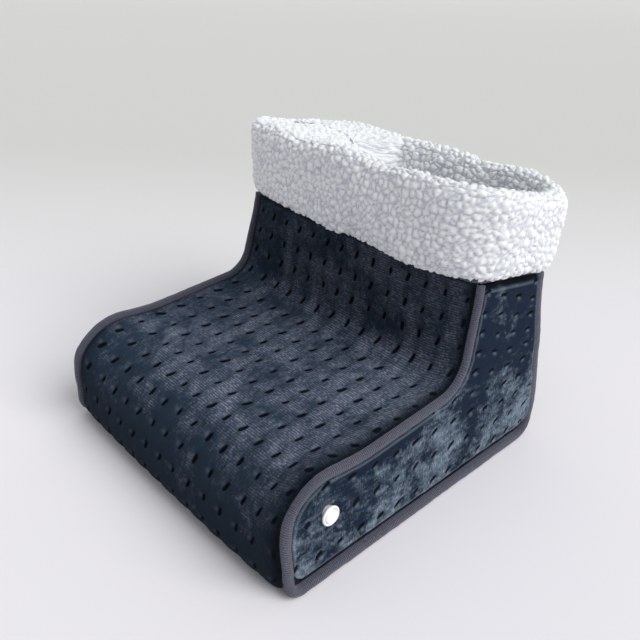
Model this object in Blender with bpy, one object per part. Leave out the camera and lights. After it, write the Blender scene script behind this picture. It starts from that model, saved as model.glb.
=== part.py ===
"""Electric foot warmer: a heated fleece-lined slipper that takes both feet.

Metres, +Z up, toe towards -Y. The origin is the middle of the sole, on the floor.

The sewn layers are drawn flat-sided in pattern space, where every layer is a set depth
inside one side outline, and one soften() then rounds them all into the stuffed shape,
so that neighbouring layers keep their clearance.
"""

import math

import bmesh
import bpy
from mathutils import Matrix, Vector
from mathutils.geometry import delaunay_2d_cdt, intersect_point_line

# Overall shoe
HALF_WIDTH = 0.1463
SEAM_HEIGHT = 0.176
COLLAR_HEIGHT = 0.010
COLLAR_TOP = SEAM_HEIGHT + COLLAR_HEIGHT
CLEARANCE = 0.0003
MERGE_DISTANCE = 0.000001
CUT_OVERRUN = 0.001

# Outline down the middle of the shoe: the y and z of each corner and the radius that rounds it
BACK_TOP_Y = 0.1439
BACK_BEND_Y, BACK_BEND_Z, BACK_BEND_RADIUS = 0.1434, 0.0765, 0.250
HEEL_Y, HEEL_RADIUS = 0.1543, 0.030
NOSE_BOTTOM_Y, NOSE_BOTTOM_RADIUS = -0.1657, 0.021
NOSE_TOP_Y, NOSE_TOP_Z, NOSE_TOP_RADIUS = -0.1563, 0.0814, 0.060
SHIN_FOOT_Y, SHIN_FOOT_Z, SHIN_FOOT_RADIUS = 0.0259, 0.0942, 0.022
SHIN_TOP_Y = 0.0339
OUTLINE_ARC_STEP = math.radians(22.5)
OUTLINE_LINE_SPAN = 0.060

# Stuffed shape: how far the sides lean in, the corners draw in and the side seams stand up
SIDE_LEAN = 0.0134
END_PULL = 0.004
SHAFT_PULL = 0.0073
CORNER_POWER = 4
RIDGE_RISE = 0.0066
TOE_RISE = 0.0074
TOE_PUSH = 0.0038
RIDGE_POWER = 8
RIDGE_FULL_Z = 0.060
TOE_START_Y, TOE_FULL_Y = -0.0682, -0.1332
HEEL_START_Y, HEEL_FULL_Y = 0.0418, 0.0818
BACK_DROP = 0.0175

# Sewn layers, from the outside in
PANEL_SINK = 0.001
PLUSH_THICKNESS = 0.0038
FOAM_THICKNESS = 0.005
LINING_THICKNESS = 0.006
LINING_SEAM_ROOM = 0.0007
BINDING_WIDTH = 0.012
BINDING_SIDES = 8

# Dimples in the plush: counts, depths and how far the plush swells between them
DIMPLE_COLUMNS = 13
FRONT_DIMPLE_ROWS = 16
BACK_DIMPLE_ROWS = 9
DIMPLE_PITCH = 0.021
DIMPLE_DEPTH = 0.0024
CHANNEL_DEPTH = 0.0007
PLUSH_SWELL = 0.0006
EDGE_TUCK = 0.0008
LATTICE_MARGIN = 0.005
COARSE_COLUMN_SHARES = (0, 0.33, 0.6, 0.78, 0.9, 1)

# Sole stack, from the floor up
SOLE_THICKNESS = 0.002
BOARD_THICKNESS = 0.0025
SOLE_FOAM_THICKNESS = 0.005
FELT_THICKNESS = 0.0015
HEATING_WIRE_DIAMETER = 0.0016
STACK_SIDE_ROOM = 0.0139

# Collar tape and fleece cuff
COLLAR_CORNER_RADIUS = 0.0125
COLLAR_PROUD = 0.0006
COLLAR_INNER_ROOM = 0.0005
CORNER_STEPS = 4
CUFF_CORNER_RADIUS = 0.032
CUFF_FRONT_RISE = 0.066
CUFF_BACK_RISE = 0.046
CUFF_HALF_THICKNESS = 0.0130
CUFF_BASE_OFFSET = -0.0030
CUFF_FLARE = 0.0110
CUFF_WAVE = 0.0018
CUFF_WAVE_COUNT = 3
CUFF_SECTION_POINTS = 14
CUFF_SQUARENESS = 0.72

# Push button, low on the right side near the toe
BUTTON_Y = -0.1112
BUTTON_Z = 0.0455
BUTTON_CLEAR_RADIUS = 0.0215
ROUND_STEPS = 28
BEZEL_RADIUS = 0.00775
BEZEL_FLANGE = 0.0016
BEZEL_CHAMFER = 0.0006
NECK_WALL = 0.001
CAP_RADIUS = 0.0054
CAP_PROUD = 0.0007
CAP_CROWN = 0.0002
CAP_EDGE = 0.0006
CAP_FACE = 0.0020
CAP_WALL = 0.0013
CAP_LIP = 0.0009
CAP_LIP_THICKNESS = 0.001
BUTTON_TRAVEL = 0.001
NECK_BELOW_PLUSH = 0.0023
HOUSING_RADIUS = 0.010
HOUSING_DEPTH = 0.008
HOUSING_FLOOR = 0.0009
BOARD_DISC_THICKNESS = 0.0012
TACT_SIDE = 0.0045
TACT_HEIGHT = 0.0035
PLUNGER_RADIUS = 0.0015
PLUNGER_ENTRY = 0.0007
TACT_HOLE_ROOM = 0.0008

# Power inlet, low on the back
INLET_ACROSS_SHARE = 0.6
INLET_UP_SHARE = 0.25
INLET_FLANGE_WIDTH, INLET_FLANGE_HEIGHT = 0.024, 0.016
INLET_FLANGE_THICKNESS = 0.0018
INLET_BODY_WIDTH, INLET_BODY_HEIGHT = 0.0186, 0.0112
INLET_BODY_REAR = 0.0125
RECESS_WIDTH, RECESS_HEIGHT, RECESS_DEPTH = 0.016, 0.0086, 0.009
INLET_CORNER_RADIUS = 0.0022
INLET_CORNER_STEPS = 3
PIN_RADIUS = 0.00115
PIN_SPACING = 0.0086
PIN_TIP_DEPTH = 0.0015
PIN_TAIL_DEPTH = 0.0140
PIN_STEPS = 12
GROOVE_COLUMNS = 4
CLIP_RIM = 0.0034
CLIP_THICKNESS = 0.0015
CLIP_SEAT = 0.001

# Wiring in the sole and up to the button
LEAD_DIAMETER = 0.0014
LEAD_SIDE_ROOM = 0.0112
LEAD_DEPTH = 0.0135
LEAD_BEND = 0.002
WIRE_BEND = 0.006
WIRE_BEND_STEPS = 3
WIRE_RUNS = 6
WIRE_SIDE_MARGIN = 0.030
WIRE_TOE_MARGIN = 0.020
WIRE_HEEL_MARGIN = 0.024
WIRE_RETURN_GAP = 0.010
WIRE_END_OFFSETS = (-0.005, 0.001)
LEAD_END_OFFSET = 0.0065
WIRE_CHANNEL_MARGIN = 0.0014
THERMOSTAT_LENGTH, THERMOSTAT_WIDTH = 0.012, 0.007
THERMOSTAT_Y = 0.030
FUSE_LENGTH, FUSE_Y = 0.010, -0.030

INLET_X = HALF_WIDTH * INLET_ACROSS_SHARE
INLET_Z = SEAM_HEIGHT * INLET_UP_SHARE
SOFT_EDGE = math.radians(60)
CRISP_EDGE = math.radians(30)
BISECTIONS = 40

PLUSH = ("plush", (0.045, 0.060, 0.082), 0.9, 0.0)
TAPE = ("tape", (0.115, 0.115, 0.140), 0.85, 0.0)
FLEECE = ("fleece", (0.80, 0.81, 0.83), 0.95, 0.0)
PADDING = ("padding", (0.72, 0.70, 0.62), 0.9, 0.0)
GRIP = ("grip", (0.030, 0.034, 0.042), 0.8, 0.0)
BOARD = ("board", (0.30, 0.22, 0.14), 0.8, 0.0)
FELT = ("felt", (0.62, 0.62, 0.60), 0.95, 0.0)
HEATER = ("heater", (0.55, 0.10, 0.08), 0.5, 0.0)
WHITE_PLASTIC = ("white_plastic", (0.86, 0.86, 0.85), 0.35, 0.0)
DARK_PLASTIC = ("dark_plastic", (0.030, 0.032, 0.036), 0.45, 0.0)
CIRCUIT = ("circuit", (0.05, 0.22, 0.10), 0.5, 0.0)
PIN_METAL = ("pin_metal", (0.72, 0.66, 0.48), 0.3, 1.0)


def smooth_share(value, low, high):
    """0 below low, 1 above high, and a smooth climb between them."""
    share = min(max((value - low) / (high - low), 0.0), 1.0)
    return share * share * (3 - 2 * share)


def blend(first, second, share):
    """The value a share of the way from first to second."""
    return first + (second - first) * share


def even_marks(low, high, count):
    """count + 1 evenly spaced values from low to high."""
    return [blend(low, high, i / count) for i in range(count + 1)]


class Outline:
    """Open path of lines and arcs in the side plane, with the shoe on its right."""

    def __init__(self, start, corners, end):
        self.pieces = []
        self.length = 0.0
        here = Vector(start)
        stops = [Vector((y, z)) for y, z, _ in corners] + [Vector(end)]
        for index, (_, _, radius) in enumerate(corners):
            corner = stops[index]
            into = (corner - here).normalized()
            out = (stops[index + 1] - corner).normalized()
            turn = into.cross(out)
            angle = math.asin(turn) if into.dot(out) > 0 else math.copysign(math.pi, turn) - math.asin(turn)
            reach = radius * math.tan(abs(angle) / 2)
            self.add_line(here, corner - into * reach)
            self.add_arc(corner - into * reach, into, radius, angle)
            here = corner + out * reach
        self.add_line(here, stops[-1])

    def add_line(self, start, end):
        """Adds a straight run."""
        span = (end - start).length
        self.pieces.append(("line", self.length, span, start, (end - start).normalized()))
        self.length += span

    def add_arc(self, start, direction, radius, angle):
        """Adds an arc that starts along direction and turns by angle, left when positive."""
        left = Vector((-direction.y, direction.x))
        centre = start + left * math.copysign(radius, angle)
        self.pieces.append(("arc", self.length, radius * abs(angle), centre, start - centre, angle, direction))
        self.length += radius * abs(angle)

    def at(self, distance):
        """Point and outward normal at a distance along the path, as (y, z, normal y, normal z)."""
        distance = min(max(distance, 0.0), self.length)
        for piece in self.pieces:
            kind, first, span = piece[:3]
            if distance <= first + span + MERGE_DISTANCE:
                break
        if kind == "line":
            point = piece[3] + piece[4] * (distance - first)
            direction = piece[4]
        else:
            turn = Matrix.Rotation(piece[5] * (distance - first) / span, 2)
            point = piece[3] + turn @ piece[4]
            direction = turn @ piece[6]
        if distance in (0.0, self.length):
            return point.x, point.y, math.copysign(1, -direction.y), 0.0
        return point.x, point.y, -direction.y, direction.x

    def stations(self, low, high):
        """Distances at which the layers have their points, from low to high."""
        marks = {low, high}
        for piece in self.pieces:
            kind, first, span = piece[:3]
            if kind == "line":
                count = max(1, math.ceil(span / OUTLINE_LINE_SPAN))
            else:
                count = max(1, math.ceil(abs(piece[5]) / OUTLINE_ARC_STEP - MERGE_DISTANCE))
            marks.update(first + span * i / count for i in range(count + 1))
        inside = sorted(mark for mark in marks if low <= mark <= high)
        kept = [inside[0]]
        for mark in inside[1:]:
            if mark - kept[-1] > CLEARANCE:
                kept.append(mark)
        kept[-1] = high
        return kept

    def piece_end(self, index):
        """Distance at which the numbered piece ends."""
        return self.pieces[index][1] + self.pieces[index][2]

    def distance_at_height(self, height, low, high):
        """Distance between low and high, on a falling stretch, at which the path has a height."""
        for _ in range(BISECTIONS):
            middle = (low + high) / 2
            if self.at(middle)[1] > height:
                low = middle
            else:
                high = middle
        return low


OUTLINE = Outline(
    (BACK_TOP_Y, SEAM_HEIGHT),
    [
        (BACK_BEND_Y, BACK_BEND_Z, BACK_BEND_RADIUS),
        (HEEL_Y, 0.0, HEEL_RADIUS),
        (NOSE_BOTTOM_Y, 0.0, NOSE_BOTTOM_RADIUS),
        (NOSE_TOP_Y, NOSE_TOP_Z, NOSE_TOP_RADIUS),
        (SHIN_FOOT_Y, SHIN_FOOT_Z, SHIN_FOOT_RADIUS),
    ],
    (SHIN_TOP_Y, SEAM_HEIGHT),
)
BACK_END = OUTLINE.piece_end(3)
FRONT_START = OUTLINE.piece_end(4)
HALF_LENGTH = (HEEL_Y - NOSE_BOTTOM_Y) / 2
SOLE_MIDDLE_Y = (HEEL_Y + NOSE_BOTTOM_Y) / 2
SHAFT_MIDDLE_Y = (BACK_TOP_Y + SHIN_TOP_Y) / 2
SHAFT_HALF_DEPTH = (BACK_TOP_Y - SHIN_TOP_Y) / 2

# Depths of the layers inside the outline
PLUSH_DEPTHS = (PANEL_SINK, PANEL_SINK + PLUSH_THICKNESS)
FOAM_DEPTHS = (PLUSH_DEPTHS[1] + CLEARANCE, PLUSH_DEPTHS[1] + CLEARANCE + FOAM_THICKNESS)
LINING_DEPTHS = (FOAM_DEPTHS[1] + CLEARANCE, FOAM_DEPTHS[1] + CLEARANCE + LINING_THICKNESS)
PANEL_EDGE = BINDING_WIDTH + CLEARANCE

# Heights of the sole stack
BOARD_Z = SOLE_THICKNESS + CLEARANCE
SOLE_FOAM_Z = BOARD_Z + BOARD_THICKNESS + CLEARANCE
LOWER_FELT_Z = SOLE_FOAM_Z + SOLE_FOAM_THICKNESS + CLEARANCE
HEATING_WIRE_Z = LOWER_FELT_Z + FELT_THICKNESS + CLEARANCE + HEATING_WIRE_DIAMETER / 2
UPPER_FELT_Z = HEATING_WIRE_Z + HEATING_WIRE_DIAMETER / 2 + CLEARANCE
SOLE_LINING_Z = UPPER_FELT_Z + FELT_THICKNESS + CLEARANCE
SOLE_STACK_TOP = SOLE_LINING_Z + LINING_THICKNESS


def soften(x, y, z):
    """Rounds a point of pattern space into the stuffed shape.

    The side seams stand up as ridges, most of all at the toe, and the top sags between them.
    Outside the strips the ridge is level, so that a plane of constant x stays a plane and side
    layers can't cross each other.
    """
    corner = abs(x / HALF_WIDTH) ** CORNER_POWER
    ridge = min(abs(x) / (HALF_WIDTH - BINDING_WIDTH), 1.0) ** RIDGE_POWER
    shaft = smooth_share(z, SHIN_FOOT_Z, SEAM_HEIGHT)
    upper = smooth_share(z, SOLE_STACK_TOP, RIDGE_FULL_Z) * (1 - shaft)
    toe = upper * smooth_share(-y, -TOE_START_Y, -TOE_FULL_Y)
    heel = smooth_share(y, HEEL_START_Y, HEEL_FULL_Y)
    end_pull = END_PULL * (y - SOLE_MIDDLE_Y) / HALF_LENGTH * (1 - shaft) * (1 - upper)
    shaft_pull = SHAFT_PULL * (y - SHAFT_MIDDLE_Y) / SHAFT_HALF_DEPTH * shaft
    drop = max(0.0, (y - SHIN_TOP_Y) / (2 * SHAFT_HALF_DEPTH)) * smooth_share(z, RIDGE_FULL_Z, SEAM_HEIGHT)
    level = z + ridge * (RIDGE_RISE * upper * (1 - heel) + TOE_RISE * toe) - BACK_DROP * drop
    width_share = 1 - SIDE_LEAN / HALF_WIDTH * level / SEAM_HEIGHT
    return Vector((x * width_share, y - corner * (end_pull + shaft_pull) - ridge * TOE_PUSH * toe, level))


def side_point(side, inset, y, z):
    """A point a set depth inside the right (1) or left (-1) side of pattern space, softened."""
    return soften(side * (HALF_WIDTH - inset), y, z)


def clear_scene():
    """Removes whatever the scene starts with."""
    for item in list(bpy.data.objects):
        bpy.data.objects.remove(item, do_unlink=True)


def finish_material(finish):
    """The material of a finish, made once."""
    name, colour, roughness, metallic = finish
    existing = bpy.data.materials.get(name)
    if existing:
        return existing
    material = bpy.data.materials.new(name)
    material.use_nodes = True
    shader = material.node_tree.nodes["Principled BSDF"]
    shader.inputs["Base Color"].default_value = (*colour, 1.0)
    shader.inputs["Roughness"].default_value = roughness
    shader.inputs["Metallic"].default_value = metallic
    material.diffuse_color = (*colour, 1.0)
    return material


class Shell:
    """Points and faces of one closed piece."""

    def __init__(self):
        self.mesh = bmesh.new()

    def point(self, place):
        """Adds one point."""
        return self.mesh.verts.new(place)

    def face(self, *points):
        """Adds one face."""
        self.mesh.faces.new(points)

    def quad(self, a, b, c, d):
        """Two triangles, always split along the same diagonal."""
        self.face(a, b, c)
        self.face(a, c, d)

    def sheet(self, rows):
        """Triangles over a grid of points."""
        for low, high in zip(rows, rows[1:]):
            for i in range(len(low) - 1):
                self.quad(low[i], low[i + 1], high[i + 1], high[i])

    def stitch(self, first, first_marks, second, second_marks):
        """Triangles between two rows of points that run side by side, matched by their marks."""
        i = j = 0
        while i < len(first) - 1 or j < len(second) - 1:
            first_next = first_marks[i + 1] if i < len(first) - 1 else math.inf
            second_next = second_marks[j + 1] if j < len(second) - 1 else math.inf
            if first_next <= second_next:
                self.face(first[i], first[i + 1], second[j])
                i += 1
            else:
                self.face(first[i], second[j + 1], second[j])
                j += 1

    def finish(self, name, finish, smooth=None, frame=None):
        """Turns the shell into an object, its faces pointing out."""
        bmesh.ops.recalc_face_normals(self.mesh, faces=self.mesh.faces)
        data = bpy.data.meshes.new(name)
        self.mesh.to_mesh(data)
        self.mesh.free()
        data.materials.append(finish_material(finish))
        if smooth is not None:
            data.shade_smooth()
            data.set_sharp_from_angle(angle=smooth)
        return place_object(name, data, frame)


def place_object(name, data, frame=None):
    """Links an object, in a frame where one is given."""
    item = bpy.data.objects.new(name, data)
    bpy.context.collection.objects.link(item)
    if frame:
        item.parent = frame
    return item


def guide_frame(name, origin, towards, upward):
    """An empty at origin whose Z points towards and whose Y lies near upward."""
    z_axis = towards.normalized()
    x_axis = upward.cross(z_axis).normalized()
    y_axis = z_axis.cross(x_axis)
    frame = bpy.data.objects.new(name, None)
    bpy.context.collection.objects.link(frame)
    frame.matrix_world = Matrix.Translation(origin) @ Matrix((x_axis, y_axis, z_axis)).transposed().to_4x4()
    return frame


def cut(item, cutter):
    """Cuts the cutter out of an item."""
    cutter.hide_render = True
    cutter.display_type = "WIRE"
    step = item.modifiers.new("cut " + cutter.name, "BOOLEAN")
    step.operation = "DIFFERENCE"
    step.solver = "EXACT"
    step.object = cutter


def lofted(name, rings, finish, closed=False, smooth=CRISP_EDGE, frame=None):
    """A solid through rings of points: capped at both ends, or closed round on itself."""
    shell = Shell()
    loops = [[shell.point(place) for place in ring] for ring in rings]
    pairs = list(zip(loops, loops[1:]))
    if closed:
        pairs.append((loops[-1], loops[0]))
    else:
        shell.face(*loops[0])
        shell.face(*reversed(loops[-1]))
    for low, high in pairs:
        for i in range(len(low)):
            after = (i + 1) % len(low)
            shell.quad(low[i], low[after], high[after], high[i])
    return shell.finish(name, finish, smooth, frame)


def circle_ring(radius, level, steps, centre_x=0.0):
    """Points of a circle about a frame's Z."""
    turns = [2 * math.pi * i / steps for i in range(steps)]
    return [Vector((centre_x + radius * math.cos(a), radius * math.sin(a), level)) for a in turns]


def turned(name, profile, finish, frame, closed=False, steps=ROUND_STEPS):
    """A turned solid from (radius, level) pairs about a frame's Z."""
    rings = [circle_ring(radius, level, steps) for radius, level in profile]
    return lofted(name, rings, finish, closed, CRISP_EDGE, frame)


def rounded_rectangle(width, height, radius, level, steps=INLET_CORNER_STEPS):
    """Points of a rounded rectangle across a frame's Z."""
    points = []
    for quarter, (sign_x, sign_y) in enumerate(((1, 1), (-1, 1), (-1, -1), (1, -1))):
        for i in range(steps + 1):
            angle = math.pi / 2 * (quarter + i / steps)
            points.append(Vector((
                sign_x * (width / 2 - radius) + radius * math.cos(angle),
                sign_y * (height / 2 - radius) + radius * math.sin(angle),
                level,
            )))
    return points


def coarse_columns(edge):
    """x values across the shoe, edge to edge, closest together near the edges."""
    right = [edge * share for share in COARSE_COLUMN_SHARES]
    return [-x for x in reversed(right[1:])] + right


def layer_rows(shell, distances, columns, depth):
    """Grid of softened points a depth inside the outline; depth may vary with row and column."""
    rows = []
    for i, distance in enumerate(distances):
        y, z, normal_y, normal_z = OUTLINE.at(distance)
        row = []
        for j, x in enumerate(columns):
            inset = depth(i, j) if callable(depth) else depth
            row.append(shell.point(soften(x, y - normal_y * inset, z - normal_z * inset)))
        rows.append(row)
    return rows


def slab(name, outer, inner, finish, smooth=SOFT_EDGE):
    """A sewn layer between two grids, each given as (distances, columns, depth)."""
    shell = Shell()
    outer_rows = layer_rows(shell, *outer)
    inner_rows = layer_rows(shell, *inner)
    shell.sheet(outer_rows)
    shell.sheet(inner_rows)
    for end in (0, -1):
        shell.stitch(outer_rows[end], outer[1], inner_rows[end], inner[1])
        outer_edge = [row[end] for row in outer_rows]
        inner_edge = [row[end] for row in inner_rows]
        shell.stitch(outer_edge, outer[0], inner_edge, inner[0])
    return shell.finish(name, finish, smooth)


def dimpled(rows, columns):
    """Depth of the plush face at each grid point: a dimple at every odd row and column."""

    def depth(i, j):
        if i in (0, rows) or j in (0, columns):
            return PANEL_SINK + EDGE_TUCK
        if i % 2 and j % 2:
            return PANEL_SINK + DIMPLE_DEPTH
        if j % 2:
            return PANEL_SINK + CHANNEL_DEPTH
        return PANEL_SINK - PLUSH_SWELL

    return depth


def plush_strip(name, low, high, dimple_rows):
    """Dimpled plush between two distances along the outline."""
    edge = HALF_WIDTH - PANEL_EDGE
    rows, columns = 2 * dimple_rows, 2 * DIMPLE_COLUMNS
    outer = (even_marks(low, high, rows), even_marks(-edge, edge, columns), dimpled(rows, columns))
    inner = (OUTLINE.stations(low, high), coarse_columns(edge), PLUSH_DEPTHS[1])
    return slab(name, outer, inner, PLUSH)


def padding_strip(name, low, high, depths, finish):
    """A plain layer between two distances along the outline."""
    marks = OUTLINE.stations(low, high)
    columns = coarse_columns(HALF_WIDTH - PANEL_EDGE)
    return slab(name, (marks, columns, depths[0]), (marks, columns, depths[1]), finish)


def lining_strip(name, low, high):
    """Fleece lining between two distances, carried on up to the top of the collar tape."""
    columns = coarse_columns(HALF_WIDTH - PANEL_EDGE)
    marks = OUTLINE.stations(low, high)
    shell = Shell()
    grids = []
    for depth in LINING_DEPTHS:
        rows = layer_rows(shell, marks, columns, depth)
        top_mark = 0.0 if low == 0.0 else OUTLINE.length
        y, _, normal_y, _ = OUTLINE.at(top_mark)
        top = [shell.point(soften(x, y - normal_y * depth, COLLAR_TOP)) for x in columns]
        rows = [top] + rows if low == 0.0 else rows + [top]
        shell.sheet(rows)
        grids.append(rows)
    outer, inner = grids
    steps = list(range(len(outer)))
    for end in (0, -1):
        shell.stitch(outer[end], columns, inner[end], columns)
        shell.stitch([row[end] for row in outer], steps, [row[end] for row in inner], steps)
    return shell.finish(name, FLEECE, SOFT_EDGE)


def side_loop(depth, floor, ceiling):
    """Closed loop in the side plane, a depth inside the outline, no lower than floor."""
    loop = []
    for distance in OUTLINE.stations(0.0, OUTLINE.length):
        y, z, normal_y, normal_z = OUTLINE.at(distance)
        loop.append(Vector((y - normal_y * depth, max(z - normal_z * depth, floor))))
    if ceiling > SEAM_HEIGHT:
        loop.append(Vector((loop[-1].x, ceiling)))
        loop.insert(0, Vector((loop[0].x, ceiling)))
    kept = [loop[0]]
    for place in loop[1:]:
        if (place - kept[-1]).length > CLEARANCE:
            kept.append(place)
    return kept


def inside_loop(place, loop, margin):
    """True where a point lies inside a loop and at least the margin from its edge."""
    crossings = 0
    for start, end in zip(loop, loop[1:] + loop[:1]):
        near, share = intersect_point_line(place, start, end)
        near = blend(start, end, min(max(share, 0.0), 1.0))
        if (place - near).length < margin:
            return False
        if (start.y > place.y) != (end.y > place.y):
            crossing = start.x + (place.y - start.y) / (end.y - start.y) * (end.x - start.x)
            crossings += crossing > place.x
    return crossings % 2 == 1


def lattice_points(loop, pitch):
    """Lattice points inside a loop, as (row, column, place)."""
    found = []
    reach = math.ceil(2 * HALF_LENGTH / pitch)
    for row in range(1, math.ceil(SEAM_HEIGHT / pitch) + 1):
        for column in range(-reach, reach + 1):
            place = Vector((column * pitch, BINDING_WIDTH + row * pitch))
            if inside_loop(place, loop, LATTICE_MARGIN):
                found.append((row, column, place))
    return found


def side_face(shell, side, loop, lattice, inset, relief):
    """One face of a side layer; returns the points of its edge."""
    edge = [shell.point(side_point(side, inset(None), place.x, place.y)) for place in loop]
    middle = []
    for row, column, place in lattice:
        depth = inset(relief(row, column, place) if relief else 0.0)
        middle.append(shell.point(side_point(side, depth, place.x, place.y)))
    places = loop + [place for _, _, place in lattice]
    result = delaunay_2d_cdt(places, [], [list(range(len(loop)))], 1, MERGE_DISTANCE)
    points = edge + middle
    for triangle in result[2]:
        shell.face(*(points[result[3][corner][0]] for corner in triangle))
    return edge


def side_layer(name, side, depths, loop, finish, relief=None):
    """A side layer between two insets; relief dimples its outer face."""
    shell = Shell()
    fine = lattice_points(loop, DIMPLE_PITCH / 2) if relief else []
    tuck = EDGE_TUCK if relief else 0.0
    outer = side_face(
        shell, side, loop, fine, lambda extra: depths[0] + (tuck if extra is None else extra), relief)
    inner = side_face(shell, side, loop, [], lambda extra: depths[1], None)
    for i in range(len(loop)):
        after = (i + 1) % len(loop)
        shell.quad(outer[i], outer[after], inner[after], inner[i])
    return shell.finish(name, finish, SOFT_EDGE)


def side_relief(flat_spot):
    """Relief of a side panel: dimples and swell, level round the button where there is one."""

    def relief(row, column, place):
        if flat_spot and (place - flat_spot).length < BUTTON_CLEAR_RADIUS:
            return 0.0
        if row % 2 and column % 2:
            return DIMPLE_DEPTH
        if row % 2:
            return CHANNEL_DEPTH
        return -PLUSH_SWELL

    return relief


def sole_layer(name, low, high, side_room, finish):
    """A flat layer of the sole between two heights."""
    heel = OUTLINE.at(BACK_END)[0] - CLEARANCE
    toe = OUTLINE.at(FRONT_START)[0] + CLEARANCE
    columns = coarse_columns(HALF_WIDTH - side_room)
    shell = Shell()
    rings = []
    for z in (low, high):
        rings.append([[shell.point(soften(x, y, z)) for x in columns] for y in (toe, heel)])
        shell.sheet(rings[-1])
    lower, upper = rings
    for end in (0, -1):
        shell.stitch(lower[end], columns, upper[end], columns)
        shell.stitch([row[end] for row in lower], (toe, heel), [row[end] for row in upper], (toe, heel))
    return shell.finish(name, finish, SOFT_EDGE)


def tape_ring(y, z, normal_y, normal_z, side):
    """Cross-section of the rolled edge tape at one station: an even-sided roll."""
    radius = BINDING_WIDTH / 2
    reach = radius / math.cos(math.pi / BINDING_SIDES)
    ring = []
    for i in range(BINDING_SIDES):
        angle = 2 * math.pi * (i + 1 / 2) / BINDING_SIDES
        across = HALF_WIDTH - radius + reach * math.cos(angle)
        depth = radius - reach * math.sin(angle)
        ring.append(soften(side * across, y - normal_y * depth, z - normal_z * depth))
    return ring


def edge_tape(name, side):
    """Rolled tape round one side, from the collar down the back, under and up to the shin."""
    rings = []
    for distance in OUTLINE.stations(0.0, OUTLINE.length):
        rings.append(tape_ring(*OUTLINE.at(distance), side))
    return lofted(name, rings, TAPE, smooth=SOFT_EDGE)


def collar_path(radius, columns, corner_steps):
    """Rounded rectangle round the top of the shaft, as (x, y, normal x, normal y)."""
    edge_x, half_y = HALF_WIDTH, SHAFT_HALF_DEPTH
    across = [x for x in columns if abs(x) < edge_x - radius - CLEARANCE]
    path = []
    corners = ((1, 1, 0), (-1, 1, 1), (-1, -1, 2), (1, -1, 3))
    for sign_x, sign_y, quarter in corners:
        for i in range(corner_steps + 1):
            angle = math.pi / 2 * (quarter + i / corner_steps)
            normal = Vector((math.cos(angle), math.sin(angle)))
            path.append((
                sign_x * (edge_x - radius) + radius * normal.x,
                SHAFT_MIDDLE_Y + sign_y * (half_y - radius) + radius * normal.y,
                normal.x,
                normal.y,
            ))
        if quarter in (0, 2):
            run = sorted(across, reverse=quarter == 0)
            path.extend((x, SHAFT_MIDDLE_Y + sign_y * half_y, 0.0, sign_y) for x in run)
        else:
            path.append((sign_x * edge_x, SHAFT_MIDDLE_Y, sign_x, 0.0))
    return path


def collar_tape():
    """Tape band round the top of the panels, just under the cuff."""
    outer = COLLAR_PROUD
    inner = -(LINING_DEPTHS[0] - CLEARANCE - COLLAR_INNER_ROOM)
    low, high = SEAM_HEIGHT + CLEARANCE, COLLAR_TOP
    middle, half_width = (outer + inner) / 2, (outer - inner) / 2
    centre, half_height = (low + high) / 2, (high - low) / 2
    reach_share = 1 / math.cos(math.pi / BINDING_SIDES)
    rings = []
    for x, y, normal_x, normal_y in collar_path(
            COLLAR_CORNER_RADIUS, coarse_columns(HALF_WIDTH - PANEL_EDGE), CORNER_STEPS):
        ring = []
        for i in range(BINDING_SIDES):
            angle = 2 * math.pi * (i + 1 / 2) / BINDING_SIDES
            out = middle + half_width * reach_share * math.cos(angle)
            level = centre + half_height * reach_share * math.sin(angle)
            ring.append(soften(x + normal_x * out, y + normal_y * out, level))
        rings.append(ring)
    return lofted("collar_binding", rings, TAPE, closed=True, smooth=SOFT_EDGE)


def signed_power(value, power):
    """The power of a value's size, with the value's sign."""
    return math.copysign(abs(value) ** power, value)


def fleece_cuff():
    """Thick doubled fleece cuff that flares out of the collar and is lower at the back."""
    columns = coarse_columns(HALF_WIDTH)
    path = collar_path(CUFF_CORNER_RADIUS, columns, CORNER_STEPS + 1)
    base = COLLAR_TOP + CLEARANCE
    rings = []
    for x, y, normal_x, normal_y in path:
        wave = CUFF_WAVE * math.cos(CUFF_WAVE_COUNT * math.pi * x / HALF_WIDTH)
        back = (y - SHAFT_MIDDLE_Y + SHAFT_HALF_DEPTH) / (2 * SHAFT_HALF_DEPTH)
        top = COLLAR_TOP + blend(CUFF_FRONT_RISE, CUFF_BACK_RISE, back) + wave
        ring = []
        for i in range(CUFF_SECTION_POINTS):
            angle = 2 * math.pi * i / CUFF_SECTION_POINTS
            height = (1 + signed_power(math.sin(angle), CUFF_SQUARENESS)) / 2
            width = signed_power(math.cos(angle), CUFF_SQUARENESS)
            out = CUFF_BASE_OFFSET + CUFF_FLARE * height + (CUFF_HALF_THICKNESS + wave * height) * width
            place = soften(x + normal_x * out, y + normal_y * out, base)
            place.z = blend(place.z, top, height)
            ring.append(place)
        rings.append(ring)
    return lofted("sherpa_cuff", rings, FLEECE, closed=True, smooth=SOFT_EDGE)


def pattern_block(name, x_marks, y_marks, z_marks):
    """Cutter with straight edges in pattern space, softened with the layers it cuts."""
    rings = []
    for x in x_marks:
        ring = [(y_marks[0], z_marks[0]), (y_marks[1], z_marks[0]),
                (y_marks[1], z_marks[1]), (y_marks[0], z_marks[1])]
        rings.append([soften(x, y, z) for y, z in ring])
    return lofted(name, rings, PADDING)


def round_route(places, radii):
    """Points along a route of straight runs, each corner rounded to its own radius."""
    points = [places[0]]
    for before, corner, after, radius in zip(places, places[1:], places[2:], radii):
        into, out = (corner - before), (after - corner)
        reach = min(radius, into.length / 2, out.length / 2)
        start = corner - into.normalized() * reach
        end = corner + out.normalized() * reach
        for i in range(WIRE_BEND_STEPS + 1):
            share = i / WIRE_BEND_STEPS
            points.append(blend(blend(start, corner, share), blend(corner, end, share), share))
    points.append(places[-1])
    return points


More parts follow.
